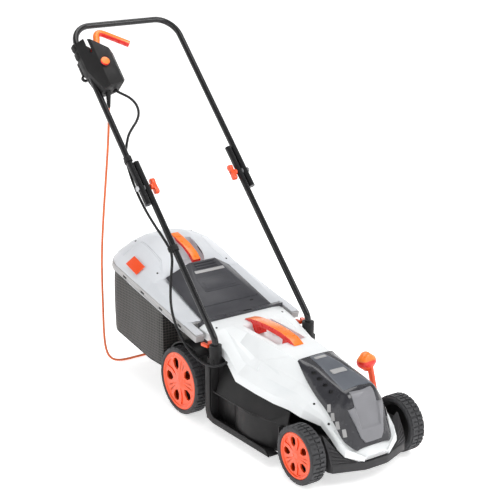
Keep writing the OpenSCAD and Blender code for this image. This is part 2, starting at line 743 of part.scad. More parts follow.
module box_hollows() {
    translate([-upper_x, 250, 0]) rotate([-90, 0, 0]) cylinder(r = tube_r + 0.05, h = 300);
    // slot and well of the start lever
    translate([-170, 440, 15]) cube([70, 70, 26]);
    // button bore
    translate([-145, 395, 20]) cylinder(r = 13 + 0.1, h = 50);
    // inlets of the motor lead and of the supply cord's strain relief
    translate([-127, 300, 9]) rotate([-90, 0, 0]) cylinder(r = 7.5, h = 34);
    rotate([-slope, 0, 0]) translate([relief_at[0], relief_at[1] - bolt_y, relief_at[2] - bolt_z])
        cylinder(r = 7.1, h = 56);
}

module switch_box_front() {
    color(black) on_handle() difference() {
        intersection() {
            box_body(0);
            translate([-200, 300, 10.2]) cube([120, 220, 80]);
        }
        intersection() {
            box_body(-2.5);
            translate([-165, 324, 5]) cube([80, 104, 60]);
        }
        box_hollows();
        // hole for the pin of the start lever
        translate(hub_at - [0, 0, 28]) cylinder(r = lever_pin_r + run_gap, h = 30);
    }
}

module switch_box_back() {
    color(black) on_handle() difference() {
        union() {
            intersection() {
                box_body(0);
                translate([-200, 300, -40]) cube([120, 220, 50]);
            }
            for (s = [412, 456]) translate([-upper_x, s, 0]) rotate([-90, 0, 0]) cylinder(r = 12.5, h = 26);
        }
        translate([-162, 330, -8]) cube([52, 96, 40]);
        box_hollows();
        translate([-200, 300, 10]) cube([120, 220, 80]);
    }
    // pin of the start lever
    color(steel) on_handle() translate([hub_at[0], hub_at[1], 2]) cylinder(r = lever_pin_r, h = 38.6);
}

module switch_module() {
    color(dark_grey) on_handle() translate([-157, 345, -7]) cube([40, 70, 24]);
}

// Pigtail hook that takes the load off the supply cord
module cord_hook() {
    color(black) on_handle() difference() {
        union() {
            translate([-178, 398, -36]) cylinder(r = 11, h = 8);
            translate([-182, 400, -36]) cube([8, 51, 8]);
            translate([-182, 439, -36]) cube([8, 12, 22]);
        }
        translate([-178, 398, -40]) cylinder(r = 5.5, h = 16);
    }
}

module strain_relief() {
    color(black) translate(relief_at) rotate_extrude()
        polygon([[0, 0], [4.6, 0], [5, 2], [7, 34], [7, 50], [0, 50]]);
}

// Clip round a tube and the lead beside it
module clip_ring(lead_at, lead_r) {
    difference() {
        union() {
            cylinder(r = tube_r + 2.6, h = 16);
            translate([lead_at[0], lead_at[1], 2]) cylinder(r = lead_r + 2, h = 12);
        }
        translate([0, 0, -1]) cylinder(r = tube_r + 0.02, h = 18);
        translate([lead_at[0], lead_at[1], -1]) cylinder(r = lead_r + 0.9, h = 18);
    }
}

module cable_clip_upper() {
    color(black) on_handle() translate([-upper_x, 88, 0]) rotate([-90, 0, 0]) clip_ring([0, 14.2], lead_r);
}

module cable_clip_lower() {
    color(black) on_handle() translate([-lower_x, -208, 0]) rotate([-90, 0, 0]) clip_ring([-13.5, 2], lead_r);
}

lead_r = 3.75;
function off_handle(p) = [p[0], bolt_y + p[1] * cos(slope) - p[2] * sin(slope),
    bolt_z + p[1] * sin(slope) + p[2] * cos(slope)];
module motor_lead() {
    route = concat([for (p = LEAD_ON_HANDLE) off_handle(p)], LEAD_FREE);
    color(black) sweep(spline(route, 2), lead_r, 8);
}

module supply_cord() { color([0.85, 0.45, 0.25]) sweep(spline(CORD, 3), cord_d / 2, 8); }

module cord_coil() {
    color([0.85, 0.45, 0.25]) translate([coil_x, coil_y, 0]) rotate_extrude()
        translate([coil_mean_r - coil_half, 0]) square([2 * coil_half, cord_d * coil_layers]);
}

module plug_tail() { color([0.85, 0.45, 0.25]) sweep(spline(TAIL, 3), cord_d / 2, 8); }

module mains_plug() {
    color(black) {
        translate([137, 404, 0]) linear_extrude(24)
            polygon([[0, 18], [6, 10], [14, 4], [50, 0], [50, 44], [14, 42], [6, 38], [0, 32]]);
        translate([178, 424, 23]) cube([8, 4, 22]);
        for (y = [412, 436]) translate([158, y, 23]) cube([6.5, 4, 18]);
    }
}

// ---------- controls ----------

module knob(side) {
    color(red_orange) on_side(side) difference() {
        union() {
            x_cyl(139, lower_x - tube_r - 0.5, [bolt_y, bolt_z], 9);
            translate([126, bolt_y, bolt_z]) rotate([slope - 90, 0, 0]) {
                for (z = [-15, 15]) translate([0, 0, z]) rotate([0, 90, 0]) cylinder(r = 10, h = 14);
                translate([0, -7, -15]) cube([14, 14, 30]);
            }
        }
        x_cyl(128.5, 160, [bolt_y, bolt_z], bolt_r + run_gap);
    }
}
module knob_left() { knob(1); }
module knob_right() { knob(-1); }

module lock_screw(side) {
    color(red_orange) on_side(side) translate([lower_x, 0, 233]) rotate([-90, 0, 0]) {
        translate([0, 0, socket_y + tube_r - tube_wall + 0.5]) cylinder(r = 3, h = 20);
        translate([0, 0, -103.4]) cylinder(r = 7, h = 12);
        for (s = [-1, 1]) translate([s * 8, 0, -100]) rotate([0, s * 8, 0])
            translate([-5, -4, 0]) cube([10, 8, 26]);
    }
}
module lock_screw_left() { lock_screw(1); }
module lock_screw_right() { lock_screw(-1); }

lever_turn = 32;

module start_lever() {
    grip = [[0, 0, 0], [-4, 30, 0], [-8, 48, 0], [-4, 60, 0], [8, 65, 0], [40, 65, 0], [92, 64, 0]];
    color(orange) on_handle() translate(hub_at) rotate([0, 0, -lever_turn]) difference() {
        union() {
            sweep(spline(grip, 3), 10, 12);
            translate([0, 0, -11]) cylinder(r = 14, h = 22);
        }
        translate([0, 0, -12]) cylinder(r = lever_pin_r + run_gap, h = 24);
    }
}

module safety_button() {
    color(orange) on_handle() translate([-145, 395, 26]) cylinder(r = 13, h = 31);
}

// ---------- rear flap ----------

module rear_flap() {
    knuckles = [-100, -37.5, 48.5];
    color(dark_grey) difference() {
        union() {
            difference() {
                hull() {
                    translate([-109, 202, 331]) cube([218, 2, 2]);
                    translate([-117, 1, 264.5]) cube([234, 2, 2.6]);
                    translate([-44, 176, 368]) cube([88, 5, 3.5]);
                    translate([-78, 40, 300]) cube([156, 4, 2]);
                    translate([-96, 4, 268]) cube([192, 2, 3]);
                }
                hull() {
                    translate([-106, 198, 327]) cube([212, 2.5, 2]);
                    translate([-112, 8, 262]) cube([224, 2, 2]);
                    translate([-41, 173, 365]) cube([82, 5, 3]);
                    translate([-75, 44, 295]) cube([150, 4, 2]);
                    translate([-106, 198, 320]) cube([212, 2.5, 2]);
                    translate([-112, 8, 256]) cube([224, 2, 2]);
                }
            }
            for (x = knuckles) x_cyl(x + 0.5, x + 51, [hinge_y, hinge_z], 5.2);
            for (x = knuckles) translate([x + 0.5, hinge_y, hinge_z - 1.5]) cube([50.5, 13, 3]);
        }
        x_cyl(-130, 130, [hinge_y, hinge_z], hinge_pin_r + run_gap);
    }
}

// ---------- grass bag ----------

function rim_low(y) = rim_z0 + tan(rim_slope) * (y - rim_y0);

function corner(x, y, r, a0, a1) = [for (k = [0:6])
    let (a = a0 + (a1 - a0) * k / 6) [x + r * cos(a), y + r * sin(a)]];

// Plan of the bag's rear part, inset by g
module bag_plan(x, y0, y1, r, g) {
    xi = x - g;
    yi = y1 - g;
    ri = r - g;
    polygon(concat([[-xi, y0], [xi, y0]], corner(xi - ri, yi - ri, ri, 0, 90),
        corner(-xi + ri, yi - ri, ri, 90, 180)));
}

module bag_solid(g) {
    front_x = 118 - g;
    intersection() {
        union() {
            linear_extrude(400) bag_plan(168, 131 + g, bag_end, 60, g);
            translate([-front_x, 10 + g, 0]) cube([2 * front_x, 130, 400]);
        }
        x_plate(-200, 200, [[8, 99 + g], [129, 99 + g], [150, bag_low + g], [206, bag_low + g],
            [bag_end - 8 - g, 128 + g], [bag_end - g, 142], [bag_end + 1, rim_low(bag_end + 1) + 2 * g],
            [8, rim_low(8) + 2 * g]]);
    }
}

module bag_mesh() {
    color([0.16, 0.15, 0.14]) difference() {
        bag_solid(0);
        bag_solid(3);
        translate([-104, 5, 106]) cube([208, 10, 116]);
        x_plate(-200, 200, [[0, rim_low(0) - 0.4], [470, rim_low(470) - 0.4], [470, 500], [0, 500]]);
    }
}

module bag_frame() {
    length = (bag_end + 0.5 - rim_y0) / cos(rim_slope);
    color([0.66, 0.65, 0.65]) translate([0, rim_y0, rim_z0]) rotate([rim_slope, 0, 0])
        linear_extrude(rim_h - 0.6) difference() {
        bag_plan(176, 0, length, 62, 0);
        bag_plan(176, 70, length, 62, 10);
        translate([-148, -1]) square([296, 63.5]);
    }
}

lid_hollow = [[214, 306], 40];
lid_skirt = 25;
lid_rows = [for (s = LID) [s[0], concat(s[1], [s[1][len(s[1]) - 1] - [0, lid_skirt]])]];

module bag_lid() {
    seat = rim_h / cos(rim_slope);
    color(light_grey) difference() {
        union() {
            difference() {
                loft(lid_rows);
                loft(lid_rows, drop = 30, inset = 3, y_in = 3);
            }
            // floor of the finger hollow beside the grip
            intersection() {
                loft(lid_rows);
                hull() {
                    translate([-lid_hollow[1] - 3, lid_hollow[0][0] - 3, 352])
                        cube([2 * lid_hollow[1] + 6, 98, 60]);
                    translate([-30, 226, 338]) cube([60, 70, 2]);
                }
            }
            // tongues that flank the cover's rear corners
            both() x_plate(150, 174, [[rim_y0, rim_low(rim_y0) + seat], [13, rim_low(13) + seat],
                [13, rim_low(13) + seat + 2], [rim_y0, rim_low(rim_y0) + seat + 3]]);
        }
        hull() {
            translate([-lid_hollow[1], lid_hollow[0][0], 356])
                cube([2 * lid_hollow[1], lid_hollow[0][1] - lid_hollow[0][0], 80]);
            translate([-27, 229, 341]) cube([54, 64, 2]);
        }
        // seat on the frame, and the window of the fill indicator
        x_plate(-200, 200, [[-60, rim_low(-60) + seat], [470, rim_low(470) + seat], [470, 200], [-60, 100]]);
        translate([-160, 278, 300]) cube([16, 42, 100]);
    }
}

module bag_grip() {
    color(orange) x_plate(-13, 13, [[207, 336], [206.4, 368], [226, 384], [262, 401], [300, 412], [322, 417],
        [330, 418.5], [330, 416], [307, 408.6], [300, 402], [262, 390], [232, 373], [213.5, 355],
        [213, 350.2]]);
}

// Flap that the air from the blade lifts while the bag has room
indicator_at = [-138, 269, 353];
indicator_pitch = 16.8;
indicator_roll = 40;
indicator_lift = 2.8;
indicator_size = [34, 60, 2.4];
module fill_indicator() {
    half_t = indicator_size[2] / 2;
    color(red_orange) translate(indicator_at) rotate([indicator_pitch, 0, 0]) rotate([0, -indicator_roll, 0])
        translate([-indicator_size[0], 0, indicator_lift]) {
            translate([0, 0, -half_t]) cube(indicator_size);
            rotate([0, 90, 0]) cylinder(r = half_t, h = indicator_size[0]);
        }
}

deck();
blade_chamber();
discharge_chute();
side_rails();
front_bumper();
top_cover();
motor_panel();
front_boss();
slate_plate();
carry_handle();
hinge_bar();
handle_sockets();
lower_tube_left();
lower_tube_right();
fold_bolts();
motor_housing();
motor_stator();
motor_bearings();
axle_bearings();
cable_clip_lower();
motor_lead();
supply_cord();
cord_coil();
plug_tail();
mains_plug();
upper_handle();
switch_box_front();
switch_box_back();
cord_hook();
switch_module();
strain_relief();
cable_clip_upper();
knob_left();
knob_right();
lock_screw_left();
lock_screw_right();
start_lever();
safety_button();
rear_flap();
bag_lid();
bag_mesh();
bag_frame();
bag_grip();
fill_indicator();
front_axle();
height_lever();
link_rod();
rear_axle();
tyre_front_left();
tyre_front_right();
tyre_rear_left();
tyre_rear_right();
rim_front_left();
rim_front_right();
rim_rear_left();
rim_rear_right();
motor_rotor();
cooling_fan();
blade();
blade_bolt();
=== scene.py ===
"""Looks of a corded push lawn mower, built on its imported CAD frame.

Lengths are metres, but outlines, tables of places and what goes through mm() or flat() are millimetres.
"""
import json
import math

import bmesh
import bpy
from mathutils import Matrix, Vector
from mathutils.bvhtree import BVHTree


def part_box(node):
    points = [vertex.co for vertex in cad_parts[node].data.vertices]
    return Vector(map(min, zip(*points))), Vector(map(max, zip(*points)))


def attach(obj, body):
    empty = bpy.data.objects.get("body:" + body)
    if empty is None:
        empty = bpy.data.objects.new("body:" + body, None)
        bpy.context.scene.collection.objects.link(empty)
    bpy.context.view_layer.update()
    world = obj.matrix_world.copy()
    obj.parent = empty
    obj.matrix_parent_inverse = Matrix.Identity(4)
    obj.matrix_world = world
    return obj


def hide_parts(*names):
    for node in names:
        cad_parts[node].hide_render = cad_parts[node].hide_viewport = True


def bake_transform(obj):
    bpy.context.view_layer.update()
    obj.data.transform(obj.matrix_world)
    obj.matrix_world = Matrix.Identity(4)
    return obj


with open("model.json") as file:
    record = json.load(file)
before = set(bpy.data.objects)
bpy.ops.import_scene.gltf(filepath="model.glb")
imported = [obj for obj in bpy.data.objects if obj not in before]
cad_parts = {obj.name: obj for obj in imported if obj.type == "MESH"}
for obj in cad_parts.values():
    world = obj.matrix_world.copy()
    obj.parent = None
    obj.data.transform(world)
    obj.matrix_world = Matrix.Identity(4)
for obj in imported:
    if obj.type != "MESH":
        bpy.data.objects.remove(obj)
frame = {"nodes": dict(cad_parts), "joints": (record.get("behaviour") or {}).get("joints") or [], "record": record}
NODES = frame["nodes"]
RECORD = frame["record"]
JOINTS = {j["name"]: j for j in frame["joints"]}
SLOT_OF = {s["node"]: s["material_slot"] for s in RECORD["subparts"]}
BODY_OF = {n: b for b, ns in RECORD["behaviour"]["bodies"].items() for n in ns}
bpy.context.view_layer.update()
MM = 0.001

# The handle's frame: X across, S up the slope, N forward and up
FOLD = Vector(JOINTS["handle_fold"]["pos_m"])
N_AXIS = Vector(JOINTS["start_lever_pull"]["axis"]).normalized()
X_AXIS = Vector((1, 0, 0))
S_AXIS = N_AXIS.cross(X_AXIS).normalized()
HANDLE = Matrix.Translation(FOLD) @ Matrix((X_AXIS, S_AXIS, N_AXIS)).transposed().to_4x4()


def mm(x, y, z):
    return Vector((x, y, z)) * MM


def on_handle(x, s, n):
    return HANDLE @ mm(x, s, n)


def clamp(value):
    return min(1, max(0, value))


def link(obj):
    bpy.context.scene.collection.objects.link(obj)
    return obj


def look(obj, at, aim):
    """Places a camera or a lamp and turns it to a point."""
    obj.location = at
    obj.rotation_euler = (Vector(aim) - Vector(at)).to_track_quat("-Z", "Y").to_euler()


# ---------- camera ----------

def add_camera():
    data = bpy.data.cameras.new("camera")
    data.sensor_width = 36
    data.lens = 98.14
    camera = link(bpy.data.objects.new("camera", data))
    look(camera, (-2.055, -2.959, 1.594), (0, -0.06, 0.465))
    bpy.context.scene.camera = camera


add_camera()

# ---------- materials ----------

def new_material(name):
    material = bpy.data.materials.new(name)
    material.use_nodes = True
    tree = material.node_tree
    return material, tree, tree.nodes["Principled BSDF"]


def add(tree, kind, **values):
    made = tree.nodes.new("ShaderNode" + kind)
    for key, value in values.items():
        if key in made.inputs:
            made.inputs[key].default_value = value
        else:
            setattr(made, key, value)
    return made


def feed(socket, value):
    """Links a socket to another, or sets it to a number or a colour."""
    if isinstance(value, bpy.types.NodeSocket):
        socket.id_data.links.new(value, socket)
    else:
        socket.default_value = (*value, 1) if isinstance(value, tuple) else value


def tune(node, **values):
    for key, value in values.items():
        feed(node.inputs[key.replace("_", " ")], value)


def noise(tree, scale, detail, stretch=(1, 1, 1)):
    mapping = add(tree, "Mapping", Scale=stretch)
    tune(mapping, Vector=add(tree, "TexCoord").outputs["Object"])
    texture = add(tree, "TexNoise", Scale=scale, Detail=detail)
    tune(texture, Vector=mapping.outputs[0])
    return texture.outputs["Fac"]


def coordinates(tree, space):
    """X, Y and Z outputs of the texture coordinates in a space."""
    parts = add(tree, "SeparateXYZ")
    tune(parts, Vector=add(tree, "TexCoord").outputs[space])
    return parts.outputs


def ramp(tree, factor, low, high, start=0.3, end=0.7):
    blend = add(tree, "ValToRGB")
    blend.color_ramp.elements[0].position = start
    blend.color_ramp.elements[1].position = end
    blend.color_ramp.elements[0].color = (*low, 1)
    blend.color_ramp.elements[1].color = (*high, 1)
    tune(blend, Fac=factor)
    return blend.outputs["Color"]


def spread(tree, factor, low, high, start=0.3, end=0.7):
    scaled = add(tree, "MapRange", **{"From Min": start, "From Max": end, "To Min": low, "To Max": high})
    tune(scaled, Value=factor)
    return scaled.outputs["Result"]


def mixed(tree, factor, low, high, blend="MIX"):
    node = add(tree, "Mix", data_type="RGBA", blend_type=blend)
    for index, value in ((0, factor), (6, low), (7, high)):
        feed(node.inputs[index], value)
    return node.outputs[2]


def calculate(tree, operation, *values):
    """Result of a Math node."""
    node = add(tree, "Math", operation=operation)
    for socket, value in zip(node.inputs, values):
        feed(socket, value)
    return node.outputs[0]


def relief(tree, bsdf, height, depth):
    bump = add(tree, "Bump", Distance=depth)
    tune(bump, Height=height)
    tune(bsdf, Normal=bump.outputs["Normal"])


def moulded(name, colour, rough=0.42, grain=1400, depth=0.00012, tone=0.10, coat=0.0, under=None):
    """Injection-moulded plastic: spark-eroded grain, faint flow marks and slightly lighter sharp edges, partly
    rubbed wear and partly a painted highlight.

    under is a painted shade: a darker colour for the faces that look sideways or down, chosen by which way each
    face looks.
    """
    material, tree, bsdf = new_material(name)
    low = tuple(c * (1 - tone) for c in colour)
    high = tuple(min(1, c * (1 + tone) + 0.004) for c in colour)
    body = ramp(tree, noise(tree, 14, 4), low, high)
    # Painted shade: faces that look sideways or down blend into the darker under colour
    if under:
        body = mixed(tree, spread(tree, coordinates(tree, "Normal")["Z"], 0, 1, 0.24, 0.4), under, body)
    # Sharp edges, found by Pointiness, are lightened: partly rubbed wear, partly a painted highlight
    edge = add(tree, "NewGeometry")
    edge_wear_and_highlight = spread(tree, edge.outputs["Pointiness"], 0.0, 0.2, 0.54, 0.66)
    scuff_and_highlight_colour = tuple(min(1, c * 1.35 + 0.03) for c in colour)
    flow = spread(tree, noise(tree, 55, 3), rough - 0.05, rough + 0.09)
    gloss = 0.5 if max(colour) > 0.1 else 0.25
    tune(bsdf, Base_Color=mixed(tree, edge_wear_and_highlight, body, scuff_and_highlight_colour), Roughness=flow, Specular_IOR_Level=gloss,
         Coat_Weight=coat, Coat_Roughness=0.12)
    relief(tree, bsdf, noise(tree, grain, 2), depth)
    return material


def metal(name, colour, rough, stretch=(1, 1, 1), painted=False):
    """Brushed, plated or painted metal, its grain drawn out by stretch."""
    material, tree, bsdf = new_material(name)
    if painted:
        tune(bsdf, Metallic=0.0, Specular_IOR_Level=0.25, Coat_Weight=0.35, Coat_Roughness=0.1)
    else:
        tune(bsdf, Metallic=1.0, Specular_IOR_Level=0.5, Coat_Weight=0.0, Coat_Roughness=0.1)
    low = tuple(c * 0.86 for c in colour)
    high = tuple(min(1, c * 1.1) for c in colour)
    brushed = spread(tree, noise(tree, 700, 3, stretch), rough * 0.75, rough * 1.3)
    tune(bsdf, Base_Color=ramp(tree, noise(tree, 30, 4), low, high), Roughness=brushed)
    relief(tree, bsdf, noise(tree, 700, 3, stretch), 0.00004)
    return material


def woven(name, strand, gap, pitch):
    """Open net: two sets of strands over and under each other."""
    material, tree, bsdf = new_material(name)
    parts = coordinates(tree, "Object")
    waves = []
    for way in (calculate(tree, "ADD", parts["X"], parts["Y"]), parts["Z"]):
        turn = calculate(tree, "MULTIPLY", way, math.pi / pitch)
        waves.append(calculate(tree, "ABSOLUTE", calculate(tree, "SINE", turn)))
    net = calculate(tree, "MINIMUM", calculate(tree, "ADD", waves[0], 0.1), waves[1])
    dust = ramp(tree, noise(tree, 60, 4), (0.55, 0.55, 0.55), (1, 1, 1))
    colour = mixed(tree, 0.5, ramp(tree, net, strand, gap, 0.2, 0.42), dust, "MULTIPLY")
    tune(bsdf, Base_Color=colour, Roughness=0.62, Sheen_Weight=0.15)
    relief(tree, bsdf, calculate(tree, "SUBTRACT", 1, net), 0.0006)
    return material


# Colour, roughness, scale and depth of the grain, tone, coat, and the painted shade colour of the lower faces
MOULDED = {
    "black_plastic": ((0.0095, 0.009, 0.0095), 0.44, 1600, 0.00012),
    "bumper_plastic": ((0.035, 0.034, 0.036), 0.42, 1300, 0.00014),
    "cover_plastic": ((0.74, 0.765, 0.775), 0.36, 1500, 0.00006, 0.03),
    "panel_plastic": ((0.022, 0.022, 0.027), 0.22, 1500, 0.00003, 0.08, 0.5),
    "boss_plastic": ((0.2, 0.2, 0.215), 0.32, 1500, 0.00005, 0.06),
    "slate_plastic": ((0.075, 0.085, 0.105), 0.36, 1500, 0.00006, 0.06),
    "flap_plastic": ((0.045, 0.045, 0.052), 0.36, 1400, 0.00008, 0.08),
    # The grip's last colour is a painted shade for its faces that look sideways or down
    "grip_plastic": ((0.94, 0.2, 0.008), 0.28, 1500, 0.00004, 0.04, 0.3, (0.78, 0.012, 0.004)),
    "rim_plastic": ((0.84, 0.07, 0.004), 0.3, 1500, 0.00004, 0.06, 0.25),
    "lead_rubber": ((0.009, 0.009, 0.01), 0.45, 900, 0.0001),
    "cord_rubber": ((0.66, 0.13, 0.03), 0.48, 900, 0.0001, 0.08),
    "tyre_plastic": ((0.045, 0.045, 0.048), 0.55, 1100, 0.0002, 0.14),
    "lid_plastic": ((0.62, 0.64, 0.67), 0.38, 1500, 0.00006, 0.03),
    "rim_band_plastic": ((0.36, 0.355, 0.355), 0.42, 1500, 0.00008, 0.05),
}
# Colour, roughness, stretch of the grain, and whether it is painted
METALS = {
    "tube_paint": ((0.005, 0.005, 0.006), 0.24, (1, 1, 1), True),
    "bolt_steel": ((0.55, 0.55, 0.57), 0.32),
    "blade_steel": ((0.42, 0.42, 0.44), 0.35, (12, 1, 1)),
    "motor_alloy": ((0.32, 0.32, 0.34), 0.45),
    "winding_brass": ((0.6, 0.3, 0.16), 0.4, (1, 1, 14)),
}
MATERIALS = {name: moulded(name, *look_of) for name, look_of in MOULDED.items()}
MATERIALS.update({name: metal(name, *look_of) for name, look_of in METALS.items()})
MATERIALS["bag_fabric"] = woven("bag_fabric", (0.085, 0.075, 0.066), (0.003, 0.0026, 0.0022), 0.0082)
for node, obj in NODES.items():
    obj.data.materials.clear()
    obj.data.materials.append(MATERIALS[SLOT_OF[node]])

# ---------- mesh helpers ----------

def finish_piece(obj, body, slot, stands_for=()):
    """Gives a piece its material, its body and the nodes that it stands for."""
    if not obj.data.materials:
        obj.data.materials.append(MATERIALS[slot])
    if body:
        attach(obj, body)
    if stands_for:
        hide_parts(*stands_for)
    return obj


def bmesh_of(*meshes):
    made = bmesh.new()
    for mesh in meshes:
        made.from_mesh(mesh)
    return made


def as_object(name, made):
    mesh = bpy.data.meshes.new(name)
    made.to_mesh(mesh)
    made.free()
    return link(bpy.data.objects.new(name, mesh))


def from_bmesh(name, made):
    bmesh.ops.remove_doubles(made, verts=made.verts, dist=1e-6)
    bmesh.ops.recalc_face_normals(made, faces=made.faces)
    return as_object(name, made)


def settle(obj, sharp=32):
    """Applies the modifiers and shades smooth up to an angle in degrees."""
    bpy.context.view_layer.update()
    graph = bpy.context.evaluated_depsgraph_get()
    mesh = bpy.data.meshes.new_from_object(obj.evaluated_get(graph))
    obj.modifiers.clear()
    obj.data = mesh
    mesh.polygons.foreach_set("use_smooth", [True] * len(mesh.polygons))
    mesh.set_sharp_from_angle(angle=math.radians(sharp))
    return obj


def bevel(obj, width, segments=2, angle=32):
    made = obj.modifiers.new("bevel", "BEVEL")
    made.width = width
    made.segments = segments
    made.limit_method = "ANGLE"
    made.angle_limit = math.radians(angle)


def thicken(obj, thickness, offset=-1):
    """Turns a skin into a shell; offset is -1 for inwards and 1 for outwards."""
    made = obj.modifiers.new("shell", "SOLIDIFY")
    made.thickness = thickness
    made.offset = offset


def cut(obj, tools):
    """Takes the tools away from a solid."""
    for tool in tools:
        made = obj.modifiers.new("cut", "BOOLEAN")
        made.operation = "DIFFERENCE"
        made.object = tool
        made.solver = "EXACT"
    settle(obj)
    for tool in tools:
        bpy.data.objects.remove(tool)


def refine(node, width, segments):
    """A copy of a CAD node with clean faces and rounded edges, which stands for the node."""
    made = bmesh_of(NODES[node].data)
    bmesh.ops.remove_doubles(made, verts=made.verts, dist=2e-6)
    bmesh.ops.dissolve_limit(made, angle_limit=math.radians(1), verts=made.verts, edges=made.edges)
    obj = from_bmesh(node + "_body", made)
    bevel(obj, width, segments, 30)
    settle(obj, 40)
    return finish_piece(obj, BODY_OF[node], SLOT_OF[node], [node])


def grid(name, rows, closed=False, caps=False):
    """Skin over rows of points; closed joins each row's ends and caps fills the first and last rows."""
    made = bmesh.new()
    lines = [[made.verts.new(p) for p in row] for row in rows]
    count = len(rows[0])
    for a, b in zip(lines, lines[1:]):
        for i in range(count if closed else count - 1):
            j = (i + 1) % count
            made.faces.new((a[i], a[j], b[j], b[i]))
    if caps:
        made.faces.new(lines[0])
        made.faces.new(list(reversed(lines[-1])))
    return from_bmesh(name, made)


def curve_through(points, steps):
    """Catmull-Rom curve through points."""
    made = []
    last = len(points) - 1
    for i in range(last):
        a, b, c, d = (points[max(0, min(last, k))] for k in (i - 1, i, i + 1, i + 2))
        for k in range(steps):
            t = k / steps
            made.append(0.5 * (2 * b + (c - a) * t + (2 * a - 5 * b + 4 * c - d) * t * t
                               + (3 * b - a - 3 * c + d) * t ** 3))
    return made + [points[last]]


def tube_rows(points, radius, sides):
    """Rings along a line, carried without twist."""
    rows = []
    side = None
    for i, p in enumerate(points):
        ahead = (points[min(i + 1, len(points) - 1)] - points[max(i - 1, 0)]).normalized()
        if side is None:
            side = ahead.cross(Vector((0.3, 0.2, 0.9))).normalized()
        side = (side - ahead * side.dot(ahead)).normalized()
        other = ahead.cross(side)
        rows.append([p + radius * (math.cos(a) * side + math.sin(a) * other)
                     for a in (2 * math.pi * k / sides for k in range(sides))])
    return rows


def tube(name, points, radius, sides):
    return settle(grid(name, tube_rows(points, radius, sides), closed=True, caps=True), 50)


def prism(name, outline, low, high, place=Matrix.Identity(4)):
    """Outline in X and Y raised from low to high, then placed."""
    made = bmesh.new()
    base = [made.verts.new(place @ Vector((x, y, low))) for x, y in outline]
    top = [made.verts.new(place @ Vector((x, y, high))) for x, y in outline]
    made.faces.new(list(reversed(base)))
    made.faces.new(top)
    for i in range(len(outline)):
        j = (i + 1) % len(outline)
        made.faces.new((base[i], base[j], top[j], top[i]))
    return from_bmesh(name, made)


def merge(name, pieces, width=0.0, segments=2, sharp=32):
    """One object out of several loose solids, with rounded edges."""
    obj = as_object(name, bmesh_of(*(piece.data for piece in pieces)))
    for piece in pieces:
        bpy.data.objects.remove(piece)
    if width:
        bevel(obj, width, segments)
    return settle(obj, sharp)


def revolve(name, profile, place, steps=72, closed=True):
    """Profile of (radius, height) pairs turned about the local Z axis."""
    rows = []
    for k in range(steps):
        a = 2 * math.pi * k / steps
        rows.append([place @ Vector((r * math.cos(a), r * math.sin(a), z)) for r, z in profile])
    rows.append(rows[0])
    return grid(name, rows, closed=closed)


def arc(cx, cy, r, start, end, steps):
    """Points on an arc, its angles in degrees."""
    return [(cx + r * math.cos(math.radians(start + (end - start) * k / steps)),
             cy + r * math.sin(math.radians(start + (end - start) * k / steps))) for k in range(steps + 1)]


def rounded(half_x, half_y, r, steps):
    """Outline of a rectangle with round corners."""
    x, y = half_x - r, half_y - r
    return (arc(x, y, r, 0, 90, steps) + arc(-x, y, r, 90, 180, steps)
            + arc(-x, -y, r, 180, 270, steps) + arc(x, -y, r, 270, 360, steps))


def flat(outline):
    """Outline in metres from one in millimetres."""
    return [(a * MM, b * MM) for a, b in outline]


def disc_outline(cx, cy, r):
    return flat(arc(cx, cy, r, 0, 345, 23))


def pad(name, half_x, half_y, corner, low, high, place, steps=3):
    """Plate with round corners, in millimetres, centred on a placement."""
    return prism(name, flat(rounded(half_x, half_y, corner, steps)), low * MM, high * MM, place)


def axes(x, y, z):
    """Turn with the given local axes."""
    return Matrix((x, y, z)).transposed().to_4x4()


def facing(at, normal, along=Vector((0, 1, 0))):
    """Placement with local Z on a surface's normal and local Y near along."""
    z = normal.normalized()
    x = along.cross(z).normalized()
    return Matrix.Translation(at) @ axes(x, z.cross(x), z)


class Surface:
    """Finds points on a piece's outside."""

    def __init__(self, obj):
        self.tree = BVHTree.FromObject(obj, bpy.context.evaluated_depsgraph_get())

    def hit(self, start, direction):
        """First point on the way and its outward normal, or two Nones."""
        at, normal, _, _ = self.tree.ray_cast(start, direction)
        if at is None:
            return None, None
        return at, normal if normal.dot(direction) < 0 else -normal

    def below(self, x, y):
        return self.hit(Vector((x, y, 1.2)), Vector((0, 0, -1)))


def screw(name, at, normal, r):
    """Recessed cross-head screw."""
    place = facing(at, normal)
    domed = [(0, 0.5), (0.75, 0.42), (1, 0.1), (1, -0.6), (0, -0.6)]
    head = revolve("head", [(a * r, b * r) for a, b in domed], place, 20, False)
    arms = ((0.6 * r, 0.12 * r), (0.12 * r, 0.6 * r))
    cut(head, [prism("cross", rounded(a, b, r * 0.05, 1), r * 0.1, r, place) for a, b in arms])
    head.name = name
    return head


# ---------- cords ----------

CORD_D = 7 * MM
LEAD_R = 3.75 * MM
COIL_TURNS = 5.5
COIL_LAYERS = 4
coil_low, coil_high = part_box("cord_coil")
COIL = (coil_low + coil_high) / 2
coil_outer = (coil_high.x - coil_low.x) / 2 - CORD_D / 2

# Supply cord down to the floor and along it to the coil
CORD_ROUTE = [mm(*p) for p in [
    (-150, 432, 795), (-150, 434, 770), (-151, 436, 730), (-154, 438, 680), (-159, 440, 620),
    (-165, 441, 560), (-171, 442, 500), (-177, 442, 440), (-182, 442, 380), (-185, 442, 320),
    (-186, 442, 260), (-186, 442, 200), (-186, 442, 140), (-185, 442, 95), (-181, 442, 58),
    (-172, 442, 31), (-156, 442, 14), (-134, 442, 6), (-108, 442, 3.5), (-75, 442, 3.5),
    (-40, 442, 3.5), (0, 442, 3.5), (40, 442, 3.5), (72, 442, 3.5)]]
TAIL_ROUTE = [mm(*p) for p in [(114, 440, 22), (126, 434, 16), (137, 429, 12)]]
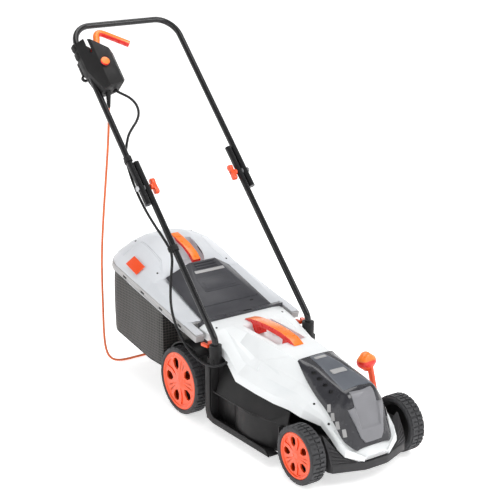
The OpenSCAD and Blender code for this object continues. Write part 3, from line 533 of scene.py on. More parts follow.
# Motor lead: on the handle, and its free loop into the deck
LEAD_ON_HANDLE = [
    (-128, 330, 8), (-124, 318, 10), (-114, 304, 14), (-100, 288, 17.5), (-90, 268, 19.5),
    (-88, 246, 20), (-95, 224, 20), (-110, 204, 18.5), (-129, 187, 15), (-146, 170, 9.5),
    (-157, 152, 3), (-164, 134, -7), (-170.5, 118, -13), (-177, 104, -14.2), (-177, 96, -14.2),
    (-177, 88, -14.2), (-180, 66, -14), (-183, 42, -13.6), (-185, 10, -13.5), (-185, -30, -13.5),
    (-183, -70, -12.5), (-179, -115, -9), (-174, -155, -5), (-170.5, -192, -2), (-170.5, -208, -2)]
LEAD_FREE = [
    (-174, 64, 430), (-181, 60, 385), (-185, 58, 340), (-186, 52, 300), (-186, 34, 262),
    (-186, 2, 230), (-186, -36, 206), (-186, -76, 194), (-186, -112, 191), (-184, -138, 193),
    (-179, -158, 198), (-170, -172, 205), (-158, -179, 212)]


def coil_points():
    """Layers of a flat spiral, wound inwards and outwards in turn."""
    points = []
    steps = int(COIL_TURNS * 20)
    for layer in range(COIL_LAYERS):
        for k in range(steps + 1):
            share = k / steps
            shift = share if layer % 2 == 0 else 1 - share
            r = coil_outer - shift * COIL_TURNS * CORD_D
            a = math.radians(-90) + 2 * math.pi * COIL_TURNS * (layer + share)
            # the cord climbs to the next layer over the last and first 3 % of the way
            leaving = max(0, share - 0.97) / 0.03 * 0.5
            arriving = max(0, 0.03 - share) / 0.03 * 0.5 * (layer > 0)
            rise = layer + 0.5 + leaving - arriving
            points.append(Vector((COIL.x + r * math.cos(a), COIL.y + r * math.sin(a), CORD_D * rise)))
    points[-1].z = CORD_D * (COIL_LAYERS - 0.5)
    return points


def spaced(points, gap):
    """Drops points that stand closer than gap."""
    kept = [points[0]]
    for p in points[1:]:
        if (p - kept[-1]).length >= gap:
            kept.append(p)
    return kept


def make_cords():
    wound = coil_points()
    lead_in = curve_through(CORD_ROUTE + [wound[0]], 3)
    lead_out = curve_through([wound[-1]] + TAIL_ROUTE, 5)
    path = spaced(lead_in[:-1] + wound + lead_out[1:], 0.002)
    cord = tube("supply_cord_line", path, CORD_D / 2, 10)
    finish_piece(cord, None, "cord_rubber", ["supply_cord", "cord_coil", "plug_tail"])
    plug = refine("mains_plug", 0.0022, 3)
    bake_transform(cord)

    lead_route = [on_handle(*p) for p in LEAD_ON_HANDLE] + [mm(*p) for p in LEAD_FREE]
    lead_path = spaced(curve_through(lead_route, 4), 0.002)
    lead = tube("motor_lead_line", lead_path, LEAD_R, 14)
    finish_piece(lead, None, "lead_rubber", ["motor_lead"])
    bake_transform(lead)


make_cords()

# ---------- stage ----------

FLOOR_HALF = 40
WALL_R = 39
WALL_TOP = 18
# Place, size and power in watts
LAMPS = {
    "key": ((1.6, -2.4, 3.0), 1.4, 46),
    "fill": ((-3.4, -0.4, 1.8), 2.4, 8),
    "top": ((0.5, 0.6, 3.6), 2.4, 56),
}


def make_stage():
    """Pale floor and a far round wall of the same paper, under even light and three soft lamps."""
    mesh = bpy.data.meshes.new("floor")
    corners = [(x * FLOOR_HALF, y * FLOOR_HALF, 0) for x, y in ((-1, -1), (1, -1), (1, 1), (-1, 1))]
    mesh.from_pydata(corners, [], [(0, 1, 2, 3)])
    ground = link(bpy.data.objects.new("floor", mesh))
    material, _, bsdf = new_material("floor")
    tune(bsdf, Base_Color=(0.95, 0.95, 0.95), Roughness=0.9, Emission_Color=(1, 1, 1), Emission_Strength=0.56)
    ground.data.materials.append(material)
    rim = arc(0, 0, WALL_R, 0, 360, 36)
    wall = grid("studio_wall", [[Vector((x, y, z)) for x, y in rim] for z in (0, WALL_TOP)])
    wall.data.materials.append(material)
    world = bpy.data.worlds.new("studio")
    bpy.context.scene.world = world
    world.use_nodes = True
    tune(world.node_tree.nodes["Background"], Color=(1, 1, 1), Strength=0.42)
    for name, (at, size, power) in LAMPS.items():
        data = bpy.data.lights.new(name, "AREA")
        data.energy = power
        data.size = size
        look(link(bpy.data.objects.new(name, data)), at, (0, -0.1, 0.3))
    bpy.context.scene.view_settings.view_transform = "Standard"


make_stage()

# ---------- wheels ----------

def wheel_frame(node):
    """Placement on a tyre's outer face, local Z pointing inwards, with its radius and width."""
    low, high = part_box(node)
    side = 1 if low.x > 0 else -1
    outer = high.x if side > 0 else low.x
    centre = Vector((outer, (low.y + high.y) / 2, (low.z + high.z) / 2))
    z = Vector((-side, 0, 0))
    x = Vector((0, 0.31, 0.95)).normalized()
    return Matrix.Translation(centre) @ axes(x, z.cross(x), z), (high.z - low.z) / 2, high.x - low.x


def rim_radius(tyre_r):
    """The tyre is thinner on the large wheels."""
    return tyre_r - (14 * MM if tyre_r > 0.085 else 16 * MM)


def tread_block(place, r, z0, z1, middle, half, flip):
    """One U-shaped block, bent round the tyre."""
    slot_half = half * 0.24
    mid = (z0 + z1) / 2 + (z1 - z0) * (0.15 if flip else -0.15)
    near, far = (z1, z0) if flip else (z0, z1)
    outline = [(-half, near), (half, near), (half, far), (slot_half, far), (slot_half, mid),
               (-slot_half, mid), (-slot_half, far), (-half, far)]
    rings = []
    for drop, grow in ((4.2 * MM, 1.08), (0.0, 0.94)):
        ring = []
        for along, z in outline:
            a = middle + along * grow / r
            at_r = r - drop - abs(z - (z0 + z1) / 2) * 0.02
            ring.append(place @ Vector((at_r * math.cos(a), at_r * math.sin(a), z)))
        rings.append(ring)
    return grid("block", rings, closed=True, caps=True)


def make_tyre(node):
    place, r, w = wheel_frame(node)
    inner, base, width = rim_radius(r) / MM, r / MM - 3.4, w / MM
    carcass = revolve("carcass", flat([
        (inner, 3.5), (inner + 2, 1.2), (base - 6, 0.2), (base - 3, 0.8), (base - 0.8, 2.6), (base, 5.5),
        (base, width / 2), (base, width - 5), (base - 3, width - 0.5), (inner, width - 0.5)]), place, 96)
    count = round(2 * math.pi * r / (25 * MM))
    step = 2 * math.pi / count
    tread = ((3.6 * MM, w * 0.475, 0, False), (w * 0.525, w - 4.5 * MM, 0.5, True))
    blocks = [tread_block(place, r, z0, z1, (k + shift) * step, step * r * 0.41, flip)
              for z0, z1, shift, flip in tread for k in range(count)]
    tyre = merge(node + "_tread", [carcass] + blocks, 0.0006, 1, 34)
    finish_piece(tyre, BODY_OF[node], "tyre_plastic", [node])


def make_rim(node, tyre_node):
    place, r, w = wheel_frame(tyre_node)
    size, width = rim_radius(r) / MM - 0.1, w / MM
    disc = revolve("disc", flat([
        (0, 3.4), (size * 0.16, 3), (size * 0.2, 4.4), (size * 0.88, 5.2), (size * 0.91, 2.6),
        (size * 0.96, 1.6), (size, 3.4), (size, width - 4), (size - 3, width - 4), (size - 3.4, 10),
        (16, 9.6), (15, width - 3), (9.6, width - 3), (9.6, 15.2), (0, 15.2)]), place, 100, False)
    # five windows, and five shallow valleys in the spokes between them, as shares of the rim's radius
    window = [(0.37, 0.0), (0.50, 0.135), (0.70, 0.165), (0.80, 0.07), (0.80, -0.07), (0.70, -0.165),
              (0.50, -0.135)]
    valley = [(0.26, -0.012), (0.26, 0.012), (0.56, 0.05), (0.82, 0.19), (0.845, 0.0), (0.82, -0.19),
              (0.56, -0.05)]
    cutters = []
    for k in range(5):
        turn = place @ Matrix.Rotation(2 * math.pi * k / 5, 4, "Z")
        half_turn = turn @ Matrix.Rotation(math.pi / 5, 4, "Z")
        for name, outline, depth, at in (("window", window, 14.5, turn), ("valley", valley, 7.6, half_turn)):
            scaled = flat([(a * size, b * size) for a, b in outline])
            cutters.append(prism(name, scaled, -10 * MM, depth * MM, at))
    cut(disc, cutters)
    bevel(disc, 0.0007, 2, 30)
    settle(disc, 36)
    disc.name = node + "_spokes"
    finish_piece(disc, BODY_OF[node], "rim_plastic", [node])
    # black dust cover that closes the wheel's inner side
    shield = revolve("shield", flat([
        (15.6, width - 7), (24, width - 9), (size - 9, width - 9), (size - 3.1, width - 3.6),
        (size + 1.5, width - 1.2), (size + 1.5, width - 3.4), (size - 3.1, width - 5.6),
        (size - 10, width - 11), (24, width - 11), (15.6, width - 9)]), place, 72)
    shield.name = node + "_shield"
    finish_piece(settle(shield, 30), BODY_OF[node], "black_plastic")


for end in ("front", "rear"):
    for hand in ("left", "right"):
        make_tyre(f"tyre_{end}_{hand}")
        make_rim(f"rim_{end}_{hand}", f"tyre_{end}_{hand}")

# ---------- handle ----------

TUBE_R = 9 * MM
HANDS = (("left", 1), ("right", -1))


def bent(points, radius, steps=8):
    """Line through points with its corners rounded to a bend radius."""
    made = [points[0]]
    for a, b, c in zip(points, points[1:], points[2:]):
        u, v = (a - b).normalized(), (c - b).normalized()
        half = u.angle(v) / 2
        reach = radius / math.tan(half)
        centre = b + (u + v).normalized() * radius / math.sin(half)
        start, end = b + u * reach - centre, b + v * reach - centre
        total = start.angle(end)
        for k in range(steps + 1):
            t = k / steps
            turned = math.sin((1 - t) * total) * start + math.sin(t * total) * end
            made.append(centre + turned / math.sin(total))
    return made + [points[-1]]


def make_tubes():
    low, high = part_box("upper_handle")
    leg_x = (high.x - low.x) / 2 / MM - TUBE_R / MM
    corners = [(-leg_x, -55), (-leg_x, 557), (leg_x, 557), (leg_x, -55)]
    bar = bent([on_handle(x, along, 0) for x, along in corners], 65 * MM, 14)
    bar_tube = tube("upper_handle_tube", bar, TUBE_R, 24)
    finish_piece(bar_tube, "upper_handle", "tube_paint", ["upper_handle"])
    foot_y = -121
    knee = (foot_y - FOLD.y / MM) / S_AXIS.y
    for hand, side in HANDS:
        x = 157 * side
        line = bent([mm(x, foot_y, 196), on_handle(x, knee, 0), on_handle(x, 84, 0)], 40 * MM)
        leg = tube(f"lower_tube_{hand}_line", line, TUBE_R, 24)
        finish_piece(leg, "chassis", "tube_paint", ["lower_tube_" + hand])


def make_knob(hand, side):
    """Wing knob: two round lobes and a neck towards the tube."""
    place = Matrix.Translation(on_handle(126 * side, 0, 0)) @ axes(S_AXIS, N_AXIS, X_AXIS)
    wings = (arc(15, 0, 9.6, -70, 70, 8) + [(6.5, 6.4), (-6.5, 6.4)]
             + arc(-15, 0, 9.6, 110, 250, 8) + [(-6.5, -6.4), (6.5, -6.4)])
    pieces = []
    for name, outline, near, far in (("grip", flat(wings), 0.3, 13.6),
                                     ("neck", disc_outline(0, 0, 8.6), 12, 21.4)):
        low, high = sorted((near * side * MM, far * side * MM))
        piece = prism(name, outline, low, high, place)
        bevel(piece, 0.0022, 3)
        settle(piece, 40)
        cut(piece, [prism("hole", disc_outline(0, 0, 4.15), -30 * MM, 30 * MM, place)])
        pieces.append(piece)
    knob = merge(f"knob_{hand}_grip", pieces, 0.0, 3, 40)
    finish_piece(knob, f"knob_{hand}", "rim_plastic", [f"knob_{hand}"])


make_tubes()
for hand, side in HANDS:
    make_knob(hand, side)

# ---------- moulded skins ----------

# Half sections from the centre line to the lower lip, in millimetres: y, then x and z pairs.
# The cover and the panel run from the rear to the nose, the bag's lid from its mouth to its rear end.
COVER = [
    (-20, [(0, 265), (70, 265), (104, 265), (130, 263), (143, 256), (145, 238)]),
    (-75, [(0, 265), (70, 265), (99, 263), (120, 258), (137, 248), (139, 226)]),
    (-141, [(0, 264), (66, 264), (90, 240), (114, 230), (136, 222), (139, 201)]),
    (-205, [(0, 262), (62, 262), (86, 218), (116, 204), (144, 184), (150, 163)]),
    (-290, [(0, 258), (59, 258), (82, 212), (110, 196), (140, 176), (146, 157)]),
    (-359, [(0, 249), (55, 248), (82, 211), (106, 192), (132, 172), (138, 152)]),
    (-410, [(0, 240), (62, 222), (76, 206), (100, 190), (120, 176), (127, 150)]),
    (-459, [(0, 230), (66, 208), (82, 190), (102, 180), (118, 168), (127, 148)]),
    (-509, [(0, 220), (60, 194), (88, 164), (93, 160), (98, 152), (101, 136)]),
    (-545, [(0, 206), (62, 176), (84, 134), (90, 132), (95, 126), (97, 112)]),
    (-568, [(0, 150), (56, 128), (78, 106), (88, 114), (92, 108), (94, 92)]),
    (-588, [(0, 98), (48, 90), (66, 88), (80, 96), (84, 90), (85, 76)]),
    (-611, [(0, 73), (20, 73), (30, 73), (37, 73), (39, 70), (40, 61)]),
]
PANEL = [
    (-356, [(0, 256), (40, 255), (54, 254), (57, 252), (59, 251)]),
    (-410, [(0, 250), (44, 249), (60, 238), (68, 226), (71, 218)]),
    (-459, [(0, 241), (48, 238), (66, 220), (76, 206), (80, 196)]),
    (-509, [(0, 231), (50, 228), (64, 206), (78, 188), (84, 174)]),
    (-545, [(0, 221), (48, 215), (64, 192), (76, 166), (83, 144)]),
    (-568, [(0, 172), (44, 168), (60, 150), (70, 132), (77, 113)]),
    (-590, [(0, 116), (38, 112), (50, 106), (58, 102), (64, 96)]),
    (-597, [(0, 92), (28, 92), (40, 91), (46, 90), (52, 88)]),
]
LID = [
    (9.5, [(0, 264.5), (60, 264.5), (110, 264.5), (150, 264.5), (174, 264), (174, 240)]),
    (60, [(0, 279), (60, 279), (108, 279), (150, 278), (174, 273), (174, 250)]),
    (120, [(0, 298), (60, 298), (106, 298), (150, 298), (174, 286), (174, 262)]),
    (186, [(0, 319), (60, 319), (106, 319), (150, 318), (174, 300), (174, 276)]),
    (205.5, [(0, 326), (60, 326), (106, 326), (150, 323), (174, 304), (174, 280)]),
    (212, [(0, 348), (50, 346), (100, 336), (150, 326), (174, 305), (174, 281)]),
    (250, [(0, 384), (50, 380), (100, 362), (150, 338), (174, 313), (174, 289)]),
    (300, [(0, 406), (50, 401), (100, 382), (150, 354), (174, 323), (174, 299)]),
    (337, [(0, 418), (50, 412), (100, 393), (150, 363), (173, 331), (173, 308)]),
    (376, [(0, 414), (50, 410), (100, 395), (150, 368), (173, 338), (173, 315)]),
    (411, [(0, 406), (48, 403), (96, 391), (143, 367), (163, 345), (163, 322)]),
    (430, [(0, 394), (42, 391), (86, 379), (128, 362), (147, 350), (147, 327)]),
    (441, [(0, 374), (34, 372), (68, 366), (98, 359), (114, 353), (114, 330)]),
]


def soften(points, reach):
    """Rounds the corners of a line, with three points for each."""
    made = [points[0]]
    for a, b, c in zip(points, points[1:], points[2:]):
        start = b + (a - b).normalized() * min(reach, 0.35 * (a - b).length)
        end = b + (c - b).normalized() * min(reach, 0.35 * (c - b).length)
        made += [start, 0.25 * start + 0.5 * b + 0.25 * end, end]
    return made + [points[-1]]


def section_rows(table, reach, steps, shape=None):
    """Rows of points across a moulding; reach rounds the sections' corners, steps is per station."""
    rows = []
    for y, half in table:
        line = [mm(-x, y, z) for x, z in reversed(half[1:])] + [mm(x, y, z) for x, z in half]
        rows.append(soften(line, reach))
    columns = [curve_through([row[i] for row in rows], steps) for i in range(len(rows[0]))]
    return [[shape(p) if shape else p for p in row] for row in zip(*columns)]


def skin(name, table, reach, steps, thickness, shape=None):
    """Thin moulding from half sections; shape moves each of its points."""
    obj = grid(name, section_rows(table, reach, steps, shape))
    if sum(f.normal.z * f.area for f in obj.data.polygons) < 0:
        obj.data.flip_normals()
    thicken(obj, thickness)
    return settle(obj, 28)


def block(name, corners, width=0.0, segments=3):
    """Convex solid round a set of points."""
    made = bmesh.new()
    for corner in corners:
        made.verts.new(corner)
    found = bmesh.ops.convex_hull(made, input=made.verts)
    bmesh.ops.delete(made, geom=found["geom_interior"] + found["geom_unused"], context="VERTS")
    bmesh.ops.dissolve_limit(made, angle_limit=math.radians(1), verts=made.verts, edges=made.edges)
    obj = from_bmesh(name, made)
    if width:
        bevel(obj, width, segments)
        settle(obj, 40)
    return obj


def box_corners(xs, ys, zs):
    return [mm(x, y, z) for x in xs for y in ys for z in zs]


def finger_pocket(grow, top):
    """Corners of the hollow under the carry handle: its upper edge, then its floor."""
    levels = ((50, -262, -85, top), (34, -232, -115, 228 - grow))
    return [mm(side * (half + grow), y, z) for half, front, back, z in levels
            for y in (front - grow, back + grow) for side in (1, -1)]


def grip_pocket(grow):
    """Corners of the hollow under the bag's grip, at three levels from the top down."""
    levels = ((40, 214, 306, 436), (40, 214, 306, 372), (27, 229, 293, 341))
    return [mm(x, y, z - grow * k * 2 / 3) for k, (half, front, back, z) in enumerate(levels)
            for y in (front - grow, back + grow) for x in (-half - grow, half + grow)]


def hollow(name, points, wall, body, slot, above):
    """Open dish lining a hollow: the block's sides and floor, below the height above(point)."""
    obj = block(name, points, 6 * MM, 3)
    made = bmesh_of(obj.data)
    top = max(v.co.z for v in made.verts) - 8 * MM
    lids = [f for f in made.faces if f.normal.z > 0.5 and f.calc_center_median().z > top]
    bmesh.ops.delete(made, geom=lids, context="FACES")
    for v in made.verts:
        v.co.z = min(v.co.z, above(v.co))
    made.to_mesh(obj.data)
    made.free()
    thicken(obj, wall, 1)
    finish_piece(settle(obj, 40), body, slot)


def cover_place(y, k):
    """Place on the cover at a station along it, at point k of that section's outline."""
    for (y0, near), (y1, far) in zip(COVER, COVER[1:]):
        if y0 >= y >= y1:
            t = (y0 - y) / (y0 - y1)
            return tuple(a + (b - a) * t for a, b in zip(near[k], far[k]))


def facet(surface, side, spots):
    """Cutter that sinks a flat into the cover; a spot is a station, a point of its outline and a depth."""
    corners = []
    for y, k, depth in spots:
        x, z = cover_place(y, k)
        at, normal, _, _ = surface.tree.find_nearest(mm(x * side, y, z))
        if normal.z < 0:
            normal = -normal
        corners += [at - normal * depth * MM, at + normal * 16 * MM]
    return block("facet", corners)


# Corners of the two flats on each side: station, point of the outline, depth
FLATS = (
    ((-90, 2, 0.2), (-220, 2, 0.4), (-240, 3, 3.4), (-190, 3, 3.4)),
    ((-230, 2, 0.4), (-320, 1, 0.4), (-400, 2, 0.4), (-390, 3, 1.6), (-250, 3, 3.2)),
)


def add_screws(name, surface, spots, r, body):
    for i, (x, y) in enumerate(spots):
        at, normal = surface.below(x * MM, y * MM)
        if at:
            finish_piece(screw(f"{name}_{i}", at, normal, r), body, "black_plastic")


def make_cover():
    cover = skin("top_cover_skin", COVER, 0.6 * MM, 1, 7.5 * MM)
    surface = Surface(cover)
    pocket_half = 0.05

    def lip(point):
        at, _ = surface.below(max(-pocket_half, min(pocket_half, point.x)), point.y)
        return (at.z if at else 0.262) - 0.4 * MM

    hollow("carry_pocket", finger_pocket(0, 266), 1.6 * MM, "chassis", "cover_plastic", lip)
    cutters = [block("cutter", finger_pocket(1.6, 275), 6 * MM)]
    cutters += [facet(surface, side, spots) for side in (1, -1) for spots in FLATS]
    cut(cover, cutters)
    bevel(cover, 0.0009, 2, 11)
    settle(cover, 13)
    finish_piece(cover, "chassis", "cover_plastic", ["top_cover"])
    spots = [(92, -470), (90, -528), (-92, -470), (-90, -528), (112, -60), (-112, -60)]
    add_screws("cover_screw", surface, spots, 3.2 * MM, "chassis")


def make_panel():
    """Glossy panel with four vents and four light slots a side."""
    panel = skin("motor_panel_skin", PANEL, 5 * MM, 4, 2.6 * MM)
    surface = Surface(panel)
    vents = []
    for side in (1, -1):
        for k in range(4):
            at, normal = surface.below(side * (56 + 1.5 * k) * MM, (-420 - 26 * k) * MM)
            vents.append((at, normal, Vector((0.55 * side, 1, 0))))
    cut(panel, [merge("vents", [pad("vent", 4.5, 7, 2.4, -12, 6, facing(*vent)) for vent in vents])])
    finish_piece(panel, "chassis", "panel_plastic", ["motor_panel"])
    slots = []
    for side in (1, -1):
        for k in range(4):
            start = mm(300 * side, -515 - 17.5 * k, 181 - 17 * k)
            at, normal = surface.hit(start, Vector((-side, 0, 0)))
            if at:
                slots.append(pad("slot", 5, 10, 1.6, -3, 0.9, facing(at, normal, Vector((0, 0.35, 1)))))
    finish_piece(merge("panel_side_slots", slots, 0.0003, 1), "chassis", "rim_band_plastic")
    floors = [pad("floor", 6, 8.5, 2.4, -1.2, 0.4, facing(at - normal * 3.4 * MM, normal, along))
              for at, normal, along in vents]
    finish_piece(merge("panel_vent_floors", floors), "chassis", "black_plastic")
    return surface


def make_boss(surface):
    """Raised pad on the nose, laid on the panel: a U-shaped frame round a sunken face."""
    top, row_step, row_count, columns = 222, 1.98, 61, 24
    arms_top, foot_top, taper_top, toe_top = 189, 138, 186, 116
    rows = []
    for k in range(row_count):
        z = top - row_step * k
        arms = clamp((arms_top - z) / 4)
        foot = clamp((foot_top - z) / 4)
        taper = max(0, taper_top - z)
        half = 35 + 20 * arms - 0.27 * taper - 0.5 * max(0, toe_top - z)
        inner = 35 - 0.13 * taper
        base_rise = 1.8 * min(1, k / 3)
        row = []
        for i in range(-columns, columns + 1):
            x = half * i / columns
            at, normal = surface.hit(mm(x, -760, z), Vector((0, 1, 0)))
            if at is None:
                at, normal = row[-1][0], Vector((0, -1, 0))
            arm = arms * clamp((abs(x) - inner) / 2.5)
            edge = 1 - max(0, (abs(i) / columns - 0.92) / 0.08) ** 2
            row.append((at, normal * (base_rise + 4.4 * max(arm, foot) * edge) * MM))
        rows.append([at + lift for at, lift in row])
    obj = grid("nose_boss", rows)
    if sum(f.normal.y * f.area for f in obj.data.polygons) > 0:
        obj.data.flip_normals()
    thicken(obj, 6 * MM)
    finish_piece(settle(obj, 35), "chassis", "boss_plastic", ["front_boss"])


def make_bumper():
    """Five grooves fan out over each grille of the bumper."""
    bumper = refine("front_bumper", 0.0022, 3)
    surface = Surface(bumper)
    grooves = []
    for side in (1, -1):
        for k in range(5):
            start, end = mm(52 * side, -640, 62 + 1.2 * k), mm(119 * side, -640, 64 + 9.5 * k)
            line = []
            for t in range(13):
                at, normal = surface.hit(start.lerp(end, t / 12), Vector((0, 1, 0)))
                if at and normal.y < -0.1:
                    line.append(at - normal * 0.2 * MM)
            if len(line) > 3:
                grooves.append(tube("groove", line, 1.7 * MM, 8))
    cut(bumper, grooves)


def make_flap():
    flap = refine("rear_flap", 0.0026, 3)
    surface = Surface(flap)

    def strip(name, half_x, y, half_y, proud, slot="flap_plastic", x=0.0):
        at, normal = surface.below(x * MM, y * MM)
        made = pad(name, half_x, half_y, min(2.5, half_y * 0.9), -1.6, proud, facing(at, normal))
        bevel(made, 0.0005, 2)
        finish_piece(settle(made), "rear_flap", slot)

    for k in range(3):
        strip(f"flap_rib_{k}", 36, 172 - 9 * k, 2.2, 2.2)
    strip("flap_stripe", 50, 141, 5.5, 0.6, "rim_band_plastic")
    strip("flap_pad", 60, 94, 27, 1.0)
    strip("flap_pad_face", 50, 94, 19, 1.7)
    strip("flap_step", 92, 30, 1.8, 1.4)
    strip("flap_slot", 6, 20, 2.0, 0.4, "black_plastic", 62)


# ---------- grass bag ----------

def lid_panel(x, y):
    """Share by which a spot on the lid lies inside one of its two sunken side panels."""
    edge = 92 + 26 * max(0, (256 - y) / 44)
    back = clamp((368 - y) / 4)
    return clamp((abs(x) - edge) / 2.5) * back * (abs(x) < 168) * (y > 213)


def sunken(p):
    return p - Vector((0, 0, 2.2 * lid_panel(p.x / MM, p.y / MM) * MM))


def make_lid():
    # each section is divided further, so that the side panels' edges come out clean
    fine = []
    for y, half in LID:
        line = []
        for (xa, za), (xb, zb), parts in zip(half, half[1:], (5, 8, 8, 3, 1)):
            line += [(xa + (xb - xa) * k / parts, za + (zb - za) * k / parts) for k in range(parts)]
        fine.append((y, line + [half[-1]]))
    lid = skin("bag_lid_skin", fine, 1.5 * MM, 3, 3 * MM, sunken)
    surface = Surface(lid)
    # a fine line round each side panel
    panel_edge = [(112, 222), (102, 239), (92, 256), (92, 300), (92, 340), (92, 362), (100, 369), (126, 369),
                  (152, 369)]
    lines = []
    for side in (1, -1):
        line = [surface.below(x * side * MM, y * MM)[0] + mm(0, 0, 0.5) for x, y in panel_edge]
        lines.append(tube("line", line, 1.9 * MM, 8))

    def lip(point):
        at, _ = surface.below(point.x, point.y)
        return (at.z if at else 0.38) - 0.4 * MM

    hollow("grip_hollow", grip_pocket(0), 1.4 * MM, "grass_bag", "lid_plastic", lip)
    window = block("window", box_corners((-160, -144), (278, 320), (300, 420)))
    cut(lid, [block("cutter", grip_pocket(1.5), 6 * MM), window] + lines)
    finish_piece(lid, "grass_bag", "lid_plastic", ["bag_lid"])
    # the upright end below the lid's rear edge
    crown = [(x, z - 1.5) for x, z in LID[-1][1][:-1]]
    outline = crown + [(112, 326), (-112, 326)] + [(-x, z) for x, z in reversed(crown[1:])]
    place = Matrix.Translation(mm(0, 436, 0)) @ Matrix.Rotation(math.radians(90), 4, "X")
    end = prism("lid_end", flat(outline), -1.2 * MM, 1.2 * MM, place)
    bevel(end, 0.0006, 2)
    finish_piece(settle(end), "grass_bag", "lid_plastic")
    # tongues beside the cover's rear corners
    for name, side in HANDS:
        corners = [mm(x * side, y, rim_low(y) + 20.4 + rise)
                   for x in (150, 174) for y in (-52, 13) for rise in (0, 3.6)]
        finish_piece(block("lid_tongue_" + name, corners, 0.0014, 2), "grass_bag", "lid_plastic")
    add_screws("lid_screw", surface, [(-120, 232), (120, 232), (-98, 388), (98, 388)], 3 * MM, "grass_bag")


def rim_low(y):
    """Height of the underside of the bag's frame, which rises to the rear."""
    return 229 + math.tan(math.radians(11.6)) * (y + 52)


def bag_floor(y):
    """Height of the bag's underside along its length."""
    spots = [(0, 99), (129, 99), (150, 93), (206, 93), (434, 129), (470, 150)]
    for (ya, za), (yb, zb) in zip(spots, spots[1:]):
        if y <= yb:
            return za + (zb - za) * max(0, y - ya) / (yb - ya)
    return spots[-1][1]


def bag_plan():
    """Outline of the bag seen from above, from the mouth's left corner round the rear, then the mouth."""
    side = [(118, 12), (118, 60), (118, 128), (140, 131), (165, 134)]
    side += [(168, y) for y in range(150, 382, 12)]
    side += arc(108, 382, 60, 0, 90, 9)
    side += [(x, 442) for x in (90, 72, 54, 36, 18)]
    mouth = [(x, 12) for x in (-104, -60, -20, 20, 60, 104)]
    return side + [(0, 442)] + [(-x, y) for x, y in reversed(side)] + mouth, len(mouth)


def make_bag():
    """Cloth walls that bulge a little between frame and floor, with the mouth left open."""
    plan, mouth_points = bag_plan()
    count = len(plan)
    outward = []
    for i in range(count):
        along = (Vector(plan[(i + 1) % count]) - Vector(plan[i - 1])).normalized()
        outward.append(Vector((along.y, -along.x)))
    levels = 22
    rows = []
    for k in range(levels + 1):
        t = k / levels
        row = []
        for i, (x, y) in enumerate(plan):
            top, low = rim_low(y) - 0.6, bag_floor(y) + 9
            sag = 2.6 * math.sin(math.pi * t) * (y > 20) * (0.7 + 0.3 * math.sin(x * 0.05 + y * 0.043))
            spot = Vector((x, y)) + outward[i] * (sag - 1.6 * (1 - t) ** 4)
            row.append(mm(spot.x, spot.y, top + (low - top) * t))
        rows.append(row)
    for inset, rise in ((2.5, 4), (7, 1), (15, 0)):
        spots = [Vector(place) - outward[i] * inset for i, place in enumerate(plan)]
        rows.append([mm(spot.x, spot.y, bag_floor(spot.y) + rise) for spot in spots])
    made = bmesh.new()
    lines = [[made.verts.new(p) for p in row] for row in rows]
    for a, b in zip(lines, lines[1:]):
        for i in range(count):
            j = (i + 1) % count
            middle = (a[i].co + a[j].co + b[i].co + b[j].co) / 4
            mouth = middle.y < 0.016 and abs(middle.x) < 0.104 and 0.106 < middle.z < 0.222
            if not mouth:
                made.faces.new((a[i], a[j], b[j], b[i]))
    floor = made.faces.new(lines[-1])
    bmesh.ops.triangulate(made, faces=[floor])
    bag = from_bmesh("bag_cloth", made)
    thicken(bag, 1.2 * MM)
    finish_piece(settle(bag, 60), "grass_bag", "bag_fabric", ["bag_mesh"])
    # piping round the bottom seam and the hem under the frame
    seam = curve_through(rows[levels + 1][:-mouth_points], 2)
    finish_piece(tube("bag_piping", seam, 1.9 * MM, 8), "grass_bag", "black_plastic")
    hem = [[p - mm(0, 0, k * 3.4) + outward[i].to_3d() * (1.9 - 0.25 * k) * MM for i, p in enumerate(rows[0])]
           for k in range(4)]
    band = grid("bag_hem", hem, closed=True)
    thicken(band, 1 * MM)
    finish_piece(settle(band, 60), "grass_bag", "lead_rubber")


def make_rim_band():
    """The bag's frame with four dark slots a side."""
    band = refine("bag_frame", 0.0018, 2)
    surface = Surface(band)
    cutters, floors = [], []
    for side in (1, -1):
        for y in (30, 128, 226, 324):
            z = rim_low(y) + 8.5
            at, normal = surface.hit(mm(260 * side, y, z), Vector((-side, 0, 0)))
            if at:
                place = facing(at, normal, Vector((0, 0.98, 0.2)))
                outline = flat(rounded(3.6, 10, 1, 2))
                cutters.append(prism("slot", outline, -0.003, 0.004, place))
                wider = [(a * 1.04, b * 1.02) for a, b in outline]
                floors.append(prism("slot", wider, -0.0022, -0.0012, place))
    cut(band, [merge("slots", cutters)])
    finish_piece(merge("rim_band_slots", floors), "grass_bag", "black_plastic")


make_cover()
panel_surface = make_panel()
make_boss(panel_surface)
make_bumper()
make_flap()
make_lid()
make_bag()
make_rim_band()

# ---------- plate, handles and controls ----------

def make_slate_plate(surface):
    """Plate flush along the panel's crown, wider to the front, with two light trims."""
    pitch, columns = 8, 10
    rows = []
    for k in range(22):
        y = -360 - pitch * k
        half = 23 + 0.135 * (pitch * k)
        row = []
        for i in range(-columns, columns + 1):
            at, _ = surface.below(half * i / columns * MM, y * MM)
            row.append(at + mm(0, 0, 0.9 if abs(i) < columns else 0.2))
        rows.append([row[0] - mm(0, 0, 3)] + row + [row[-1] - mm(0, 0, 3)])
    plate = grid("slate_plate_skin", rows, closed=True, caps=True)
    bevel(plate, 0.0008, 2, 30)
    finish_piece(settle(plate, 32), "chassis", "slate_plastic", ["slate_plate"])
    top = Surface(plate)
    for name, y, half_x, half_y in (("upper", -376, 18, 5.5), ("lower", -452, 23, 9)):
        at, normal = top.below(0, y * MM)
        trim = pad("panel_trim_" + name, half_x, half_y, 2.5, -3, 1.1, facing(at, normal), 4)
        bevel(trim, 0.0004, 2)
        finish_piece(settle(trim), "chassis", "rim_band_plastic")


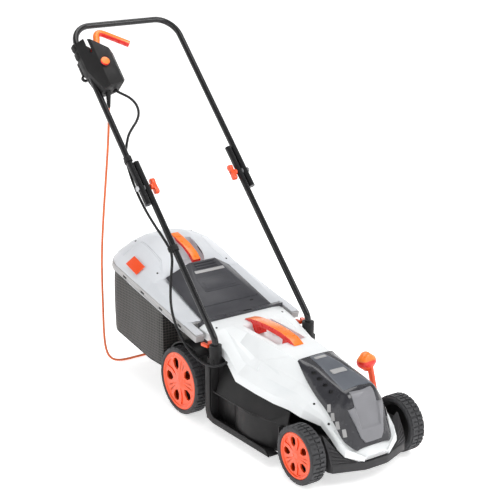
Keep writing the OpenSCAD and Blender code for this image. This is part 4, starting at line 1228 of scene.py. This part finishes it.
def make_button_collar():
    """Dark collar round the safety button."""
    low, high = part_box("safety_button")
    button = (low + high) / 2
    surface = Surface(bpy.data.objects["switch_box_front_body"])
    at, _ = surface.hit(button + S_AXIS * 17 * MM + N_AXIS * 0.1, -N_AXIS)
    if at:
        face = (at - button).dot(N_AXIS) / MM
        ring = flat([(11.2, face - 0.5), (11.2, face + 1.1), (13.2, face + 1.3), (15, face + 0.3),
                     (15, face - 0.5)])
        collar = revolve("button_collar", ring, Matrix.Translation(button) @ axes(X_AXIS, S_AXIS, N_AXIS), 48)
        finish_piece(settle(collar, 40), "upper_handle", "black_plastic")


def make_scallops():
    """Finger hollows along the start lever's lower edge."""
    lever = bpy.data.objects["start_lever_body"]
    place = HANDLE.to_3x3().to_4x4() @ Matrix.Rotation(math.radians(-32), 4, "Z")
    place.translation = Vector(JOINTS["start_lever_pull"]["pos_m"])
    cut(lever, [prism("scallop", disc_outline(x, 44.5, 12.5), -30 * MM, 30 * MM, place)
                for x in (32, 52, 72)])


def make_clamp_lobes():
    """Rounded shells of the switch box's clamp round the tube."""
    for name, low, high in (("upper", 474, 497), ("lower", 446, 470)):
        corners = [on_handle(x, s, n) for x in (-194, -170) for s in (low, high) for n in (-15, 7)]
        finish_piece(block("clamp_lobe_" + name, corners, 6 * MM, 4), "upper_handle", "black_plastic")


def make_aprons():
    """Panels that close the gap between the blade chamber and the side pillars."""
    for name, side in HANDS:
        corners = box_corners((148.6 * side, 151.4 * side), (-203, -127), (31, 110.5))
        finish_piece(block("deck_apron_" + name, corners, 0.0008, 2), "chassis", "black_plastic")


def make_lever_paddle():
    """The height lever's paddle is moulded over its stem in the grips' orange."""
    lever = bpy.data.objects["height_lever_body"]
    low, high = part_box("height_lever")
    made = bmesh_of(lever.data)
    stem_top = high.z - 36 * MM
    whole = made.verts[:] + made.edges[:] + made.faces[:]
    bmesh.ops.bisect_plane(made, geom=whole, plane_co=(0, 0, stem_top), plane_no=(0, 0, 1))
    both = made.copy()
    for kept, keep_high in ((made, False), (both, True)):
        gone = [f for f in kept.faces if (f.calc_center_median().z > stem_top) != keep_high]
        bmesh.ops.delete(kept, geom=gone, context="FACES")
    made.to_mesh(lever.data)
    made.free()
    paddle = from_bmesh("height_lever_paddle", both)
    finish_piece(settle(paddle, 40), BODY_OF["height_lever"], "grip_plastic")


make_slate_plate(panel_surface)
# Pieces that keep their CAD shape, with the width of their rounded edges in millimetres
EDGES = {
    "deck": 0.8, "blade_chamber": 0.8, "discharge_chute": 0.8, "side_rails": 1.6, "carry_handle": 2.6,
    "hinge_bar": 0.8, "handle_sockets": 1.6, "fold_bolts": 0.6, "switch_box_front": 3.0,
    "switch_box_back": 2.0, "start_lever": 1.4, "safety_button": 1.4, "cord_hook": 1.2, "strain_relief": 0.8,
    "cable_clip_upper": 0.8, "cable_clip_lower": 0.8, "bag_grip": 1.6, "fill_indicator": 0.7,
    "height_lever": 1.2, "lock_screw_left": 1.0, "lock_screw_right": 1.0, "motor_housing": 1.0,
    "motor_stator": 0.6, "motor_rotor": 0.6, "motor_bearings": 0.5, "cooling_fan": 0.5, "blade": 0.5,
    "blade_bolt": 0.6, "front_axle": 0.6, "rear_axle": 0.6, "axle_bearings": 1.0, "link_rod": 0.4,
    "switch_module": 0.8}
for node, width in EDGES.items():
    refine(node, width * MM, 3 if width > 1.3 else 2)
make_button_collar()
make_scallops()
make_clamp_lobes()
make_aprons()
make_lever_paddle()
